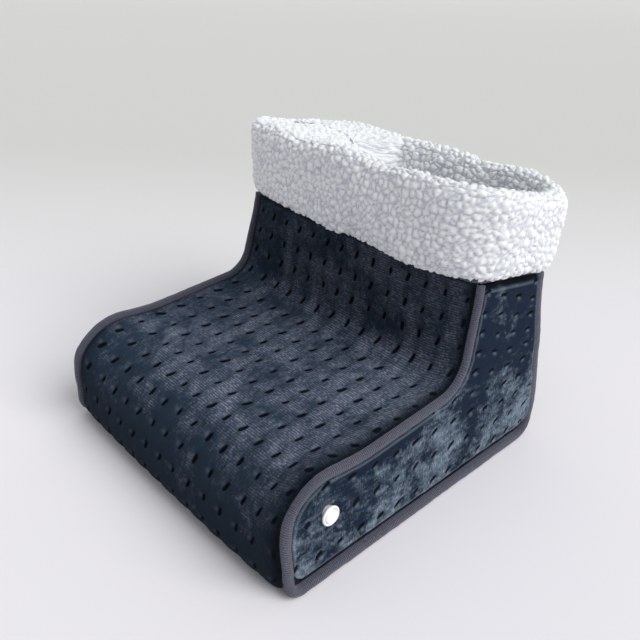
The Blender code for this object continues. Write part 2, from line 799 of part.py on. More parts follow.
def wire(name, points, diameter, finish):
    """A round wire along a list of points."""
    curve = bpy.data.curves.new(name, "CURVE")
    curve.dimensions = "3D"
    curve.bevel_depth = diameter / 2
    curve.bevel_resolution = 1
    curve.use_fill_caps = True
    spline = curve.splines.new("POLY")
    spline.points.add(len(points) - 1)
    for spot, place in zip(spline.points, points):
        spot.co = (*place, 1.0)
    curve.materials.append(finish_material(finish))
    return place_object(name, curve)


def button_origin():
    """Point of the button's axis at the outermost plane of the right side."""
    return side_point(1, 0.0, BUTTON_Y, BUTTON_Z)


def housing_touch(offset, diameter):
    """Pattern height at which a wire beside the button's leaning axis meets the switch housing."""
    origin = button_origin()
    axis_z = origin.z - LEAD_SIDE_ROOM * SIDE_LEAN / SEAM_HEIGHT
    low, high = SOLE_STACK_TOP, BUTTON_Z
    for _ in range(BISECTIONS):
        middle = (low + high) / 2
        place = soften(HALF_WIDTH - LEAD_SIDE_ROOM, BUTTON_Y + offset, middle)
        near_edge = max(abs(place.y - origin.y) - diameter / 2, 0.0)
        if place.z < axis_z - math.sqrt(HOUSING_RADIUS ** 2 - near_edge ** 2) - CLEARANCE:
            low = middle
        else:
            high = middle
    return low


def heating_wire():
    """One unbroken wire: down from the switch, to and fro under the feet, and back up."""
    side_x = HALF_WIDTH - LEAD_SIDE_ROOM
    toe = OUTLINE.at(FRONT_START)[0] + WIRE_TOE_MARGIN
    heel = OUTLINE.at(BACK_END)[0] - WIRE_HEEL_MARGIN
    z = HEATING_WIRE_Z
    back_offset, start_offset = WIRE_END_OFFSETS
    start_y, back_y = BUTTON_Y + start_offset, BUTTON_Y + back_offset
    start_top = housing_touch(start_offset, HEATING_WIRE_DIAMETER)
    back_top = housing_touch(back_offset, HEATING_WIRE_DIAMETER)
    run_x = even_marks(HALF_WIDTH - WIRE_SIDE_MARGIN, WIRE_SIDE_MARGIN - HALF_WIDTH, WIRE_RUNS - 1)
    turn_y = start_y + WIRE_RETURN_GAP
    places = [Vector((side_x, start_y, start_top)), Vector((side_x, start_y, z)),
              Vector((run_x[0], start_y, z))]
    for i, x in enumerate(run_x):
        first, second = (turn_y, heel) if i % 2 == 0 else (heel, turn_y)
        if i > 0:
            places.append(Vector((x, first, z)))
        last = i == len(run_x) - 1
        places.append(Vector((x, toe - WIRE_RETURN_GAP if last else second, z)))
    return_x = run_x[0] + WIRE_RETURN_GAP
    places += [Vector((return_x, toe - WIRE_RETURN_GAP, z)), Vector((return_x, back_y, z)),
               Vector((side_x, back_y, z)), Vector((side_x, back_y, back_top))]
    radii = [LEAD_BEND] + [WIRE_BEND] * (len(places) - 4) + [LEAD_BEND]
    bends = round_route(places, radii)
    return wire("heating_wire", [soften(*place) for place in bends], HEATING_WIRE_DIAMETER, HEATER)


def supply_lead(inlet_distance):
    """Lead from the inlet's pins to the switch, down the heel corner and along the sole edge."""
    side_x = HALF_WIDTH - LEAD_SIDE_ROOM
    start_x = INLET_X + PIN_SPACING / 2 + PIN_RADIUS + CLEARANCE
    marks = [mark for mark in OUTLINE.stations(inlet_distance, BACK_END) if mark > inlet_distance + WIRE_BEND]
    places = []
    for x, distance in [(start_x, inlet_distance), (side_x, inlet_distance)] + [(side_x, m) for m in marks]:
        y, z, normal_y, normal_z = OUTLINE.at(distance)
        places.append(Vector((x, y - normal_y * LEAD_DEPTH, z - normal_z * LEAD_DEPTH)))
    end_y = BUTTON_Y + LEAD_END_OFFSET
    places += [Vector((side_x, end_y, LEAD_DEPTH)),
               Vector((side_x, end_y, housing_touch(LEAD_END_OFFSET, LEAD_DIAMETER)))]
    bends = round_route(places, [LEAD_BEND] * (len(places) - 2))
    return wire("supply_lead", [soften(*place) for place in bends], LEAD_DIAMETER, DARK_PLASTIC)


def box_between(name, low, high, finish, frame=None):
    """A plain block between two corners."""
    rings = [[Vector((x, y, z)) for x, y in
              ((low[0], low[1]), (high[0], low[1]), (high[0], high[1]), (low[0], high[1]))]
             for z in (low[2], high[2])]
    return lofted(name, rings, finish, frame=frame)


def push_button(panel, foam, lining):
    """Bezel, cap and switch on an axis square to the leaning side panel."""
    lean_angle = math.atan(SIDE_LEAN / SEAM_HEIGHT)
    axis = Vector((math.cos(lean_angle), 0.0, math.sin(lean_angle)))
    frame = guide_frame("button_axis", button_origin(), axis, Vector((0.0, 0.0, 1.0)))

    flange_low = -PANEL_SINK + CLEARANCE
    flange_high = flange_low + BEZEL_FLANGE
    bore = CAP_RADIUS + CLEARANCE
    neck = bore + NECK_WALL
    neck_end = -PLUSH_DEPTHS[1] - NECK_BELOW_PLUSH
    turned("button_bezel", [
        (bore, flange_high - BEZEL_CHAMFER), (bore + BEZEL_CHAMFER, flange_high),
        (BEZEL_RADIUS - BEZEL_CHAMFER, flange_high), (BEZEL_RADIUS, flange_high - BEZEL_CHAMFER),
        (BEZEL_RADIUS, flange_low), (neck, flange_low), (neck, neck_end), (bore, neck_end),
    ], WHITE_PLASTIC, frame, closed=True)

    cap_top = flange_high + CAP_PROUD
    lip_top = neck_end - CLEARANCE
    lip_low = lip_top - CAP_LIP_THICKNESS
    ceiling = cap_top - CAP_FACE
    hollow = CAP_RADIUS - CAP_WALL
    turned("button_cap", [
        (CAP_RADIUS / 2, cap_top), (CAP_RADIUS - CAP_EDGE, cap_top - CAP_CROWN),
        (CAP_RADIUS, cap_top - CAP_EDGE), (CAP_RADIUS, lip_top), (CAP_RADIUS + CAP_LIP, lip_top),
        (CAP_RADIUS + CAP_LIP, lip_low), (hollow, lip_low), (hollow, ceiling),
    ], WHITE_PLASTIC, frame)

    mouth = neck + CLEARANCE
    rim = -PLUSH_DEPTHS[1] - CLEARANCE
    housing_low = rim - HOUSING_DEPTH
    turned("switch_housing", [
        (HOUSING_RADIUS, housing_low), (HOUSING_RADIUS, rim), (mouth, rim),
        (mouth, housing_low + HOUSING_FLOOR),
    ], DARK_PLASTIC, frame)
    board_low = housing_low + HOUSING_FLOOR + CLEARANCE
    board_high = board_low + BOARD_DISC_THICKNESS
    turned("circuit_board", [(mouth - CLEARANCE, board_low), (mouth - CLEARANCE, board_high)], CIRCUIT, frame)

    tact_low = board_high + CLEARANCE
    tact_high = tact_low + TACT_HEIGHT
    tact = box_between("tact_switch", (-TACT_SIDE / 2, -TACT_SIDE / 2, tact_low),
                       (TACT_SIDE / 2, TACT_SIDE / 2, tact_high), DARK_PLASTIC, frame)
    hole = PLUNGER_RADIUS + CLEARANCE
    hole_floor = tact_high - PLUNGER_ENTRY - BUTTON_TRAVEL - TACT_HOLE_ROOM
    cut(tact, turned("tact_hole", [(hole, hole_floor), (hole, tact_high + CUT_OVERRUN)],
                     CIRCUIT, frame, steps=PIN_STEPS))
    turned("switch_plunger", [(PLUNGER_RADIUS, tact_high - PLUNGER_ENTRY),
                              (PLUNGER_RADIUS, ceiling - CLEARANCE)], WHITE_PLASTIC, frame, steps=PIN_STEPS)

    cut(panel, turned("neck_hole", [(mouth, -PLUSH_DEPTHS[1] - CUT_OVERRUN), (mouth, CUT_OVERRUN)],
                      CIRCUIT, frame))
    pocket = HOUSING_RADIUS + CLEARANCE
    cut(foam, turned("housing_hole", [(pocket, -FOAM_DEPTHS[1] - CUT_OVERRUN),
                                      (pocket, -FOAM_DEPTHS[0] + CUT_OVERRUN)], CIRCUIT, frame))
    cut(lining, turned("housing_pocket", [(pocket, housing_low - CLEARANCE),
                                          (pocket, -LINING_DEPTHS[0] + CUT_OVERRUN)], CIRCUIT, frame))
    slot_y = (BUTTON_Y + WIRE_END_OFFSETS[0] - WIRE_CHANNEL_MARGIN, BUTTON_Y + LEAD_END_OFFSET + WIRE_CHANNEL_MARGIN)
    slot_x = (HALF_WIDTH - LEAD_SIDE_ROOM - WIRE_CHANNEL_MARGIN, HALF_WIDTH - LINING_DEPTHS[0] + CUT_OVERRUN)
    cut(lining, pattern_block("wire_slot", slot_x, slot_y, (SOLE_STACK_TOP - CUT_OVERRUN, BUTTON_Z)))


def power_inlet(panel, foam, lining):
    """Two-pin inlet let into the back, held by a clip behind the plush."""
    distance = OUTLINE.distance_at_height(INLET_Z, 0.0, OUTLINE.piece_end(2))
    y, z, normal_y, normal_z = OUTLINE.at(distance)
    frame = guide_frame("inlet_axis", soften(INLET_X, y, z), Vector((0.0, normal_y, normal_z)),
                        Vector((0.0, 0.0, 1.0)))
    corner = INLET_CORNER_RADIUS
    flange_low = -PANEL_SINK + PLUSH_SWELL + CLEARANCE
    flange_high = flange_low + INLET_FLANGE_THICKNESS
    flange = (INLET_FLANGE_WIDTH, INLET_FLANGE_HEIGHT, corner)
    body = (INLET_BODY_WIDTH, INLET_BODY_HEIGHT, corner)
    recess = (RECESS_WIDTH, RECESS_HEIGHT, corner)
    floor = flange_high - RECESS_DEPTH
    socket = lofted("inlet_socket", [
        rounded_rectangle(*body, -INLET_BODY_REAR), rounded_rectangle(*body, flange_low),
        rounded_rectangle(*flange, flange_low), rounded_rectangle(*flange, flange_high),
        rounded_rectangle(*recess, flange_high), rounded_rectangle(*recess, floor),
    ], DARK_PLASTIC, frame=frame)
    for label, side in (("left", -1), ("right", 1)):
        centre = side * PIN_SPACING / 2
        hole = PIN_RADIUS + CLEARANCE
        cut(socket, lofted("pin_hole_" + label, [
            circle_ring(hole, -INLET_BODY_REAR - CUT_OVERRUN, PIN_STEPS, centre),
            circle_ring(hole, floor + CUT_OVERRUN, PIN_STEPS, centre)], CIRCUIT, frame=frame))
        lofted("inlet_pin_" + label, [
            circle_ring(PIN_RADIUS, -PIN_TAIL_DEPTH, PIN_STEPS, centre),
            circle_ring(PIN_RADIUS, flange_high - PIN_TIP_DEPTH, PIN_STEPS, centre)], PIN_METAL, frame=frame)

    room = 2 * CLEARANCE
    hole = (INLET_BODY_WIDTH + room, INLET_BODY_HEIGHT + room, corner + CLEARANCE)
    clip = (INLET_BODY_WIDTH + 2 * CLIP_RIM, INLET_BODY_HEIGHT + 2 * CLIP_RIM, corner + CLIP_RIM)
    clip_high = -PLUSH_DEPTHS[1] - CLIP_SEAT
    clip_low = clip_high - CLIP_THICKNESS
    lofted("inlet_clip", [
        rounded_rectangle(*clip, clip_low), rounded_rectangle(*clip, clip_high),
        rounded_rectangle(*hole, clip_high), rounded_rectangle(*hole, clip_low),
    ], DARK_PLASTIC, closed=True, frame=frame)

    cut(panel, lofted("plush_hole", [rounded_rectangle(*hole, -PLUSH_DEPTHS[1] - CUT_OVERRUN),
                                     rounded_rectangle(*hole, CUT_OVERRUN)], CIRCUIT, frame=frame))
    wide = (clip[0] + room, clip[1] + room, clip[2] + CLEARANCE)
    cut(foam, lofted("clip_hole", [rounded_rectangle(*wide, -FOAM_DEPTHS[1] - CUT_OVERRUN),
                                   rounded_rectangle(*wide, -FOAM_DEPTHS[0] + CUT_OVERRUN)], CIRCUIT, frame=frame))
    pocket_low = -PIN_TAIL_DEPTH - 2 * CLEARANCE
    cut(lining, lofted("socket_pocket", [rounded_rectangle(*hole, pocket_low),
                                         rounded_rectangle(*hole, -LINING_DEPTHS[0] + CUT_OVERRUN)],
                       CIRCUIT, frame=frame))
    cut(lining, lead_groove(distance, -pocket_low))
    return distance


def lead_groove(distance, depth):
    """Cutter for the groove that takes the lead from the inlet to the heel corner."""
    half = LEAD_DIAMETER / 2 + WIRE_CHANNEL_MARGIN / 2
    marks = [distance - half, distance + half]
    columns = even_marks(INLET_X + PIN_SPACING / 2, HALF_WIDTH - PANEL_EDGE + CUT_OVERRUN, GROOVE_COLUMNS)
    outer = (marks, columns, LINING_DEPTHS[0] - CUT_OVERRUN)
    return slab("lead_groove", outer, (marks, columns, depth), CIRCUIT)


def heating_controls():
    """Thermostat and thermal fuse, flat between the felts beside the wire."""
    run_x = even_marks(HALF_WIDTH - WIRE_SIDE_MARGIN, WIRE_SIDE_MARGIN - HALF_WIDTH, WIRE_RUNS - 1)
    between = (run_x[1] + run_x[2]) / 2
    low = HEATING_WIRE_Z - HEATING_WIRE_DIAMETER / 2
    high = HEATING_WIRE_Z + HEATING_WIRE_DIAMETER / 2
    half_length, half_width = THERMOSTAT_LENGTH / 2, THERMOSTAT_WIDTH / 2
    box_between("thermostat", (between - half_width, THERMOSTAT_Y - half_length, low),
                (between + half_width, THERMOSTAT_Y + half_length, high), DARK_PLASTIC)
    frame = guide_frame("fuse_axis", Vector((between, FUSE_Y, HEATING_WIRE_Z)), Vector((0.0, 1.0, 0.0)),
                        Vector((0.0, 0.0, 1.0)))
    radius = HEATING_WIRE_DIAMETER / 2
    turned("thermal_fuse", [(radius, -FUSE_LENGTH / 2), (radius, FUSE_LENGTH / 2)], PIN_METAL, frame,
           steps=PIN_STEPS)


def build():
    """Builds every piece of the foot warmer."""
    clear_scene()
    end = OUTLINE.length
    plush_strip("front_top_panel", FRONT_START, end, FRONT_DIMPLE_ROWS)
    back_panel = plush_strip("back_panel", 0.0, BACK_END, BACK_DIMPLE_ROWS)
    padding_strip("foam_front_top", FRONT_START, end, FOAM_DEPTHS, PADDING)
    foam_back = padding_strip("foam_back", 0.0, BACK_END, FOAM_DEPTHS, PADDING)
    lining_strip("lining_front_top", FRONT_START, end)
    lining_back = lining_strip("lining_back", 0.0, BACK_END)

    side_loops = {
        "panel": side_loop(PANEL_EDGE, PANEL_EDGE, SEAM_HEIGHT),
        "lining": side_loop(LINING_DEPTHS[1] + LINING_SEAM_ROOM, SOLE_STACK_TOP + CLEARANCE, COLLAR_TOP),
    }
    right = {}
    for label, side in (("right", 1), ("left", -1)):
        spot = Vector((BUTTON_Y, BUTTON_Z)) if side == 1 else None
        pieces = {
            "panel": side_layer("side_panel_" + label, side, PLUSH_DEPTHS, side_loops["panel"], PLUSH,
                                side_relief(spot)),
            "foam": side_layer("foam_" + label, side, FOAM_DEPTHS, side_loops["panel"], PADDING),
            "lining": side_layer("lining_" + label, side, LINING_DEPTHS, side_loops["lining"], FLEECE),
        }
        right = pieces if side == 1 else right
        edge_tape("binding_" + label, side)

    collar_tape()
    fleece_cuff()

    sole_layer("sole_panel", 0.0, SOLE_THICKNESS, PANEL_EDGE, GRIP)
    sole_layer("sole_board", BOARD_Z, BOARD_Z + BOARD_THICKNESS, STACK_SIDE_ROOM, BOARD)
    sole_layer("sole_foam", SOLE_FOAM_Z, SOLE_FOAM_Z + SOLE_FOAM_THICKNESS, STACK_SIDE_ROOM, PADDING)
    sole_layer("heating_felt_lower", LOWER_FELT_Z, LOWER_FELT_Z + FELT_THICKNESS, STACK_SIDE_ROOM, FELT)
    sole_layer("heating_felt_upper", UPPER_FELT_Z, UPPER_FELT_Z + FELT_THICKNESS, STACK_SIDE_ROOM, FELT)
    sole_layer("lining_sole", SOLE_LINING_Z, SOLE_STACK_TOP, STACK_SIDE_ROOM, FLEECE)

    heating_wire()
    heating_controls()
    push_button(right["panel"], right["foam"], right["lining"])
    supply_lead(power_inlet(back_panel, foam_back, lining_back))


build()
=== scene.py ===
"""Looks of a heated foot warmer: a dimpled plush slipper for both feet with a fleece cuff.

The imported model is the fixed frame. Each sewn layer that shows is replaced by a fuller mesh
that lies where its solid is; hard parts keep their solids and get their finish here.
Metres, +Z up, toe towards -Y.
"""

import logging
import math
from dataclasses import dataclass, field
from enum import Enum
from typing import Sequence

import bpy
import numpy as np
from mathutils import Matrix, Vector, noise
from mathutils.geometry import delaunay_2d_cdt


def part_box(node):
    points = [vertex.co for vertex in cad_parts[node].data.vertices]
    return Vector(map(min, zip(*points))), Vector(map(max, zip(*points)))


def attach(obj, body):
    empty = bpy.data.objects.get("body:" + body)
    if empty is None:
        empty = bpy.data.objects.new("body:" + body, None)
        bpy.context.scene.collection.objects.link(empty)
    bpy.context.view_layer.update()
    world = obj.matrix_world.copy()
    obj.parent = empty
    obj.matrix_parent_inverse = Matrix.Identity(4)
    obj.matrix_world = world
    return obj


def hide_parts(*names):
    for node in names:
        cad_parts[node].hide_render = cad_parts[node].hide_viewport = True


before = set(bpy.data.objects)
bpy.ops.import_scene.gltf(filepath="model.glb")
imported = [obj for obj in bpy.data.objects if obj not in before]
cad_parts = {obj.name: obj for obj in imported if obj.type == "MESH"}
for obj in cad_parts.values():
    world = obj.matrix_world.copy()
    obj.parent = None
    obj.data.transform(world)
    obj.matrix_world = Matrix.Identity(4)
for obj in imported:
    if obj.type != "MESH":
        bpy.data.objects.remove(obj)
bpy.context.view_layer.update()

LOG = logging.getLogger("foot_warmer")
Array = np.ndarray
Socket = bpy.types.NodeSocket
EDGE_ROOM_SHARE = 0.45
SAME_PLACE = 1e-7


class Side(Enum):
    """Which side of the shoe a piece is on."""

    RIGHT = 1
    LEFT = -1


def smooth(value: Array, low: float, high: float) -> Array:
    """Smooth climb from 0 at low to 1 at high.

    Args:
        value: Where to read the climb.
        low: Value that gives 0.
        high: Value that gives 1.

    Returns:
        The share, the same shape as value.
    """
    share = np.clip((value - low) / (high - low), 0.0, 1.0)
    return share * share * (3 - 2 * share)


@dataclass(frozen=True)
class Swell:
    """Smooth unevenness of a stuffed surface: size of one swell, its height and how it is stretched."""

    size: float
    height: float
    seed: float
    stretch: tuple = (1.0, 1.0, 1.0)

    def read(self, points: Array) -> Array:
        """Reads the swell.

        Args:
            points: Points as an (..., 3) array.

        Returns:
            Height at each point, from -height to height.
        """
        flat = (points * np.array(self.stretch)).reshape(-1, 3) / self.size + self.seed
        values = [noise.noise(Vector(place)) for place in flat]
        return np.array(values).reshape(points.shape[:-1]) * self.height


@dataclass(frozen=True)
class Curls:
    """Rounded curls of fleece: distance between neighbours, height and the share of it that lies level."""

    size: float
    height: float
    seed: float
    level_share: float
    pillow_edge: float = 0.24
    furrow_edge: float = 0.10
    dome_share: float = 0.25

    def read(self, points: Array) -> tuple[Array, Array]:
        """Reads the curls.

        Args:
            points: Points as an (..., 3) array.

        Returns:
            Lift of each point in metres, and openness of the furrow round its curl, from 0 to 1.
        """
        flat = points.reshape(-1, 3) / self.size + self.seed
        near = np.empty((len(flat), 2))
        for index, place in enumerate(flat):
            near[index] = noise.voronoi(Vector(place), distance_metric="DISTANCE")[0][:2]
        gap = near[:, 1] - near[:, 0]
        pillow = 1 - np.exp(-(gap / self.pillow_edge) ** 2)
        dome = np.sqrt(np.clip(1 - near[:, 0] ** 2, 0.0, 1.0))
        height = (1 - self.dome_share) * pillow + self.dome_share * dome
        furrow = np.exp(-(gap / self.furrow_edge) ** 2)
        shape = points.shape[:-1]
        return ((height - self.level_share) * self.height).reshape(shape), furrow.reshape(shape)


class SideOutline:
    """Lines and arcs in the side plane, with the shoe on their right.

    Args:
        start: First point as (y, z).
        corners: Corners as (y, z, radius).
        end: Last point as (y, z).
    """

    def __init__(self, start: tuple, corners: Sequence[tuple], end: tuple) -> None:
        """Lays the path out as closely spaced samples."""
        self.samples: list[tuple] = []
        self.piece_ends: list[float] = []
        self.length = 0.0
        stops = [Vector(corner[:2]) for corner in corners] + [Vector(end)]
        here = Vector(start)
        for index, (_, _, radius) in enumerate(corners):
            into = (stops[index] - here).normalized()
            out = (stops[index + 1] - stops[index]).normalized()
            angle = math.atan2(into.cross(out), into.dot(out))
            reach = radius * math.tan(abs(angle) / 2)
            self.add_line(here, stops[index] - into * reach)
            self.add_arc(stops[index] - into * reach, into, radius, angle)
            here = stops[index] + out * reach
        self.add_line(here, stops[-1])
        self.table = np.array(self.samples)

    def add_line(self, start: Vector, end: Vector) -> None:
        """Adds a straight run.

        Args:
            start: Where it starts, as (y, z).
            end: Where it ends.
        """
        direction = (end - start).normalized()
        span = (end - start).length
        for place, distance in ((start, self.length), (end, self.length + span)):
            self.samples.append((distance, place.x, place.y, -direction.y, direction.x))
        self.length += span
        self.piece_ends.append(self.length)

    def add_arc(self, start: Vector, into: Vector, radius: float, angle: float) -> None:
        """Adds an arc.

        Args:
            start: Where it starts, as (y, z).
            into: Direction at its start.
            radius: Its radius.
            angle: How far it turns, left when positive.
        """
        centre = start + Vector((-into.y, into.x)) * math.copysign(radius, angle)
        steps = max(4, math.ceil(abs(math.degrees(angle)) / 2))
        for step in range(steps + 1):
            turn = Matrix.Rotation(angle * step / steps, 2)
            place, direction = centre + turn @ (start - centre), turn @ into
            distance = self.length + radius * abs(angle) * step / steps
            self.samples.append((distance, place.x, place.y, -direction.y, direction.x))
        self.length += radius * abs(angle)
        self.piece_ends.append(self.length)

    def at(self, distance: Array) -> tuple[Array, Array, Array, Array]:
        """Reads the path.

        Args:
            distance: Distances along the path.

        Returns:
            y, z and the outward normal's y and z.
        """
        marks = self.table[:, 0]
        return tuple(np.interp(distance, marks, self.table[:, k]) for k in range(1, 5))


@dataclass
class StuffedShape:
    """The shoe's pattern and the way stuffing rounds it, as in the model's source."""

    half_width: float = 0.1463
    seam_height: float = 0.176
    collar_top: float = 0.186
    side_lean: float = 0.0134
    end_pull: float = 0.004
    shaft_pull: float = 0.0073
    corner_power: int = 4
    ridge_rise: float = 0.0066
    toe_rise: float = 0.0074
    toe_push: float = 0.0038
    ridge_power: int = 8
    ridge_full_z: float = 0.060
    toe_start_y: float = -0.0682
    toe_full_y: float = -0.1332
    heel_start_y: float = 0.0418
    heel_full_y: float = 0.0818
    back_drop: float = 0.0175
    stack_top: float = 0.0219
    binding_width: float = 0.012
    clearance: float = 0.0003
    back_top_y: float = 0.1439
    back_bend: tuple = (0.1434, 0.0765, 0.250)
    heel: tuple = (0.1543, 0.0, 0.030)
    nose_bottom: tuple = (-0.1657, 0.0, 0.021)
    nose_top: tuple = (-0.1563, 0.0814, 0.060)
    shin_foot: tuple = (0.0259, 0.0942, 0.022)
    shin_top_y: float = 0.0339
    outline: SideOutline = field(init=False)

    def __post_init__(self) -> None:
        """Works out what follows from the sizes."""
        corners = (self.back_bend, self.heel, self.nose_bottom, self.nose_top, self.shin_foot)
        self.outline = SideOutline(
            (self.back_top_y, self.seam_height), corners, (self.shin_top_y, self.seam_height))
        self.back_end = self.outline.piece_ends[3]
        self.front_start = self.outline.piece_ends[4]
        self.half_length = (self.heel[0] - self.nose_bottom[0]) / 2
        self.sole_middle_y = (self.heel[0] + self.nose_bottom[0]) / 2
        self.shaft_middle_y = (self.back_top_y + self.shin_top_y) / 2
        self.shaft_half_depth = (self.back_top_y - self.shin_top_y) / 2
        self.panel_edge = self.binding_width + self.clearance

    def soften(self, x: Array, y: Array, z: Array) -> Array:
        """Rounds pattern points into the stuffed shape.

        Args:
            x: Across the shoe.
            y: Along it, the toe towards negative.
            z: Height.

        Returns:
            Points as an (..., 3) array.
        """
        x, y, z = np.broadcast_arrays(x, y, z)
        corner = np.abs(x / self.half_width) ** self.corner_power
        ridge = np.minimum(np.abs(x) / (self.half_width - self.binding_width), 1.0) ** self.ridge_power
        shaft = smooth(z, self.shin_foot[1], self.seam_height)
        upper = smooth(z, self.stack_top, self.ridge_full_z) * (1 - shaft)
        toe = upper * smooth(-y, -self.toe_start_y, -self.toe_full_y)
        heel = smooth(y, self.heel_start_y, self.heel_full_y)
        pull = self.end_pull * (y - self.sole_middle_y) / self.half_length * (1 - shaft) * (1 - upper)
        pull = pull + self.shaft_pull * (y - self.shaft_middle_y) / self.shaft_half_depth * shaft
        drop = np.maximum((y - self.shin_top_y) / (2 * self.shaft_half_depth), 0.0)
        drop = drop * smooth(z, self.ridge_full_z, self.seam_height)
        rise = self.ridge_rise * upper * (1 - heel) + self.toe_rise * toe
        level = z + ridge * rise - self.back_drop * drop
        share = 1 - self.side_lean / self.half_width * level / self.seam_height
        return np.stack([x * share, y - corner * pull - ridge * self.toe_push * toe, level], axis=-1)

    def strip_points(self, x: Array, distance: Array, depth: Array) -> Array:
        """Points a depth under the outline at distances along it and places across the shoe."""
        y, z, normal_y, normal_z = self.outline.at(distance)
        return self.soften(x, y - normal_y * depth, z - normal_z * depth)

    def side_loop(self, depth: float, floor: float, ceiling: float, spacing: float) -> Array:
        """Closed loop a depth inside the side outline.

        Args:
            depth: Distance inside the outline.
            floor: Lowest height.
            ceiling: Height to carry the two upper ends to.
            spacing: Distance between the points.

        Returns:
            The loop's points as (y, z) rows.
        """
        count = math.ceil(self.outline.length / spacing)
        y, z, normal_y, normal_z = self.outline.at(np.linspace(0.0, self.outline.length, count))
        loop = np.column_stack([y - normal_y * depth, np.maximum(z - normal_z * depth, floor)])
        if ceiling > self.seam_height:
            loop = np.vstack([[loop[0, 0], ceiling], loop, [loop[-1, 0], ceiling]])
        kept = [loop[0]]
        for place in loop[1:]:
            if np.hypot(*(place - kept[-1])) > spacing / 3:
                kept.append(place)
        return np.array(kept)

    def shaft_path(self, radius: float, spacing: float) -> Array:
        """Rounded rectangle round the shaft.

        Args:
            radius: Radius of its corners.
            spacing: Distance between the points.

        Returns:
            Rows of x, y, normal x and normal y.
        """
        edge, half = self.half_width - radius, self.shaft_half_depth - radius
        rows: list[tuple] = []
        for quarter, (sign_x, sign_y) in enumerate(((1, 1), (-1, 1), (-1, -1), (1, -1))):
            steps = max(4, math.ceil(math.pi / 2 * radius / spacing))
            for step in range(steps):
                angle = math.pi / 2 * (quarter + step / steps)
                out_x, out_y = math.cos(angle), math.sin(angle)
                rows.append((sign_x * edge + radius * out_x, sign_y * half + radius * out_y, out_x, out_y))
            angle = math.pi / 2 * (quarter + 1)
            normal = (round(math.cos(angle)), round(math.sin(angle)))
            span = 2 * edge if quarter % 2 == 0 else 2 * half
            steps = math.ceil(span / spacing)
            start = np.array([sign_x * edge + radius * normal[0], sign_y * half + radius * normal[1]])
            along = np.array([-normal[1], normal[0]]) * span
            rows.extend((*(start + along * step / steps), *normal) for step in range(steps))
        path = np.array(rows)
        path[:, 1] += self.shaft_middle_y
        return path


def loop_gap(y: Array, z: Array, loop: Array) -> Array:
    """Distance of places from the edge of a loop.

    Args:
        y: Along the shoe.
        z: Height.
        loop: The loop's points as (y, z) rows.

    Returns:
        The distances, negative outside.
    """
    inside = np.zeros(len(y), dtype=bool)
    nearest = np.full(len(y), np.inf)
    for (ay, az), (by, bz) in zip(loop, np.roll(loop, -1, axis=0)):
        span = (by - ay) ** 2 + (bz - az) ** 2
        share = np.clip(((y - ay) * (by - ay) + (z - az) * (bz - az)) / span, 0.0, 1.0)
        nearest = np.minimum(nearest, np.hypot(y - ay - share * (by - ay), z - az - share * (bz - az)))
        if az != bz:
            crosses = (az > z) != (bz > z)
            inside ^= crosses & (y < ay + (z - az) / (bz - az) * (by - ay))
    return np.where(inside, nearest, -nearest)


def fill_loop(
        loop: Array, spacing: float | None, hole: Array | None = None) -> tuple[Array, Array, Array, Array]:
    """Fills a flat loop with triangles.

    Args:
        loop: Its points as (y, z) rows.
        spacing: Distance between the points inside, or None for none.
        hole: Points of an opening in it.

    Returns:
        y and z of all points, the loop's first; their distance from its edge; the triangles.
    """
    rings = [loop] if hole is None else [loop, hole]
    y, z = np.vstack(rings).T
    edges = [[first + step for step in range(len(ring))] for first, ring in zip((0, len(loop)), rings)]
    gap = np.zeros(len(y))
    if spacing is not None:
        spans = zip(loop.min(axis=0), loop.max(axis=0))
        marks = [np.arange(low + spacing / 2, high, spacing) for low, high in spans]
        grid_y, grid_z = (part.ravel() for part in np.meshgrid(*marks))
        inner, room = loop_gap(grid_y, grid_z, loop), spacing * EDGE_ROOM_SHARE
        keep = inner > room
        if hole is not None:
            keep &= loop_gap(grid_y, grid_z, hole) < -room
        y, z = np.concatenate([y, grid_y[keep]]), np.concatenate([z, grid_z[keep]])
        gap = np.concatenate([gap, inner[keep]])
    places = [Vector(pair) for pair in zip(y.tolist(), z.tolist())]
    _, _, found, sources, _, _ = delaunay_2d_cdt(places, [], edges, 1, SAME_PLACE)
    triangles = np.array([[sources[index][0] for index in triangle] for triangle in found])
    if hole is not None:
        triangles = triangles[loop_gap(y[triangles].mean(axis=1), z[triangles].mean(axis=1), hole) < 0]
    return y, z, gap, triangles


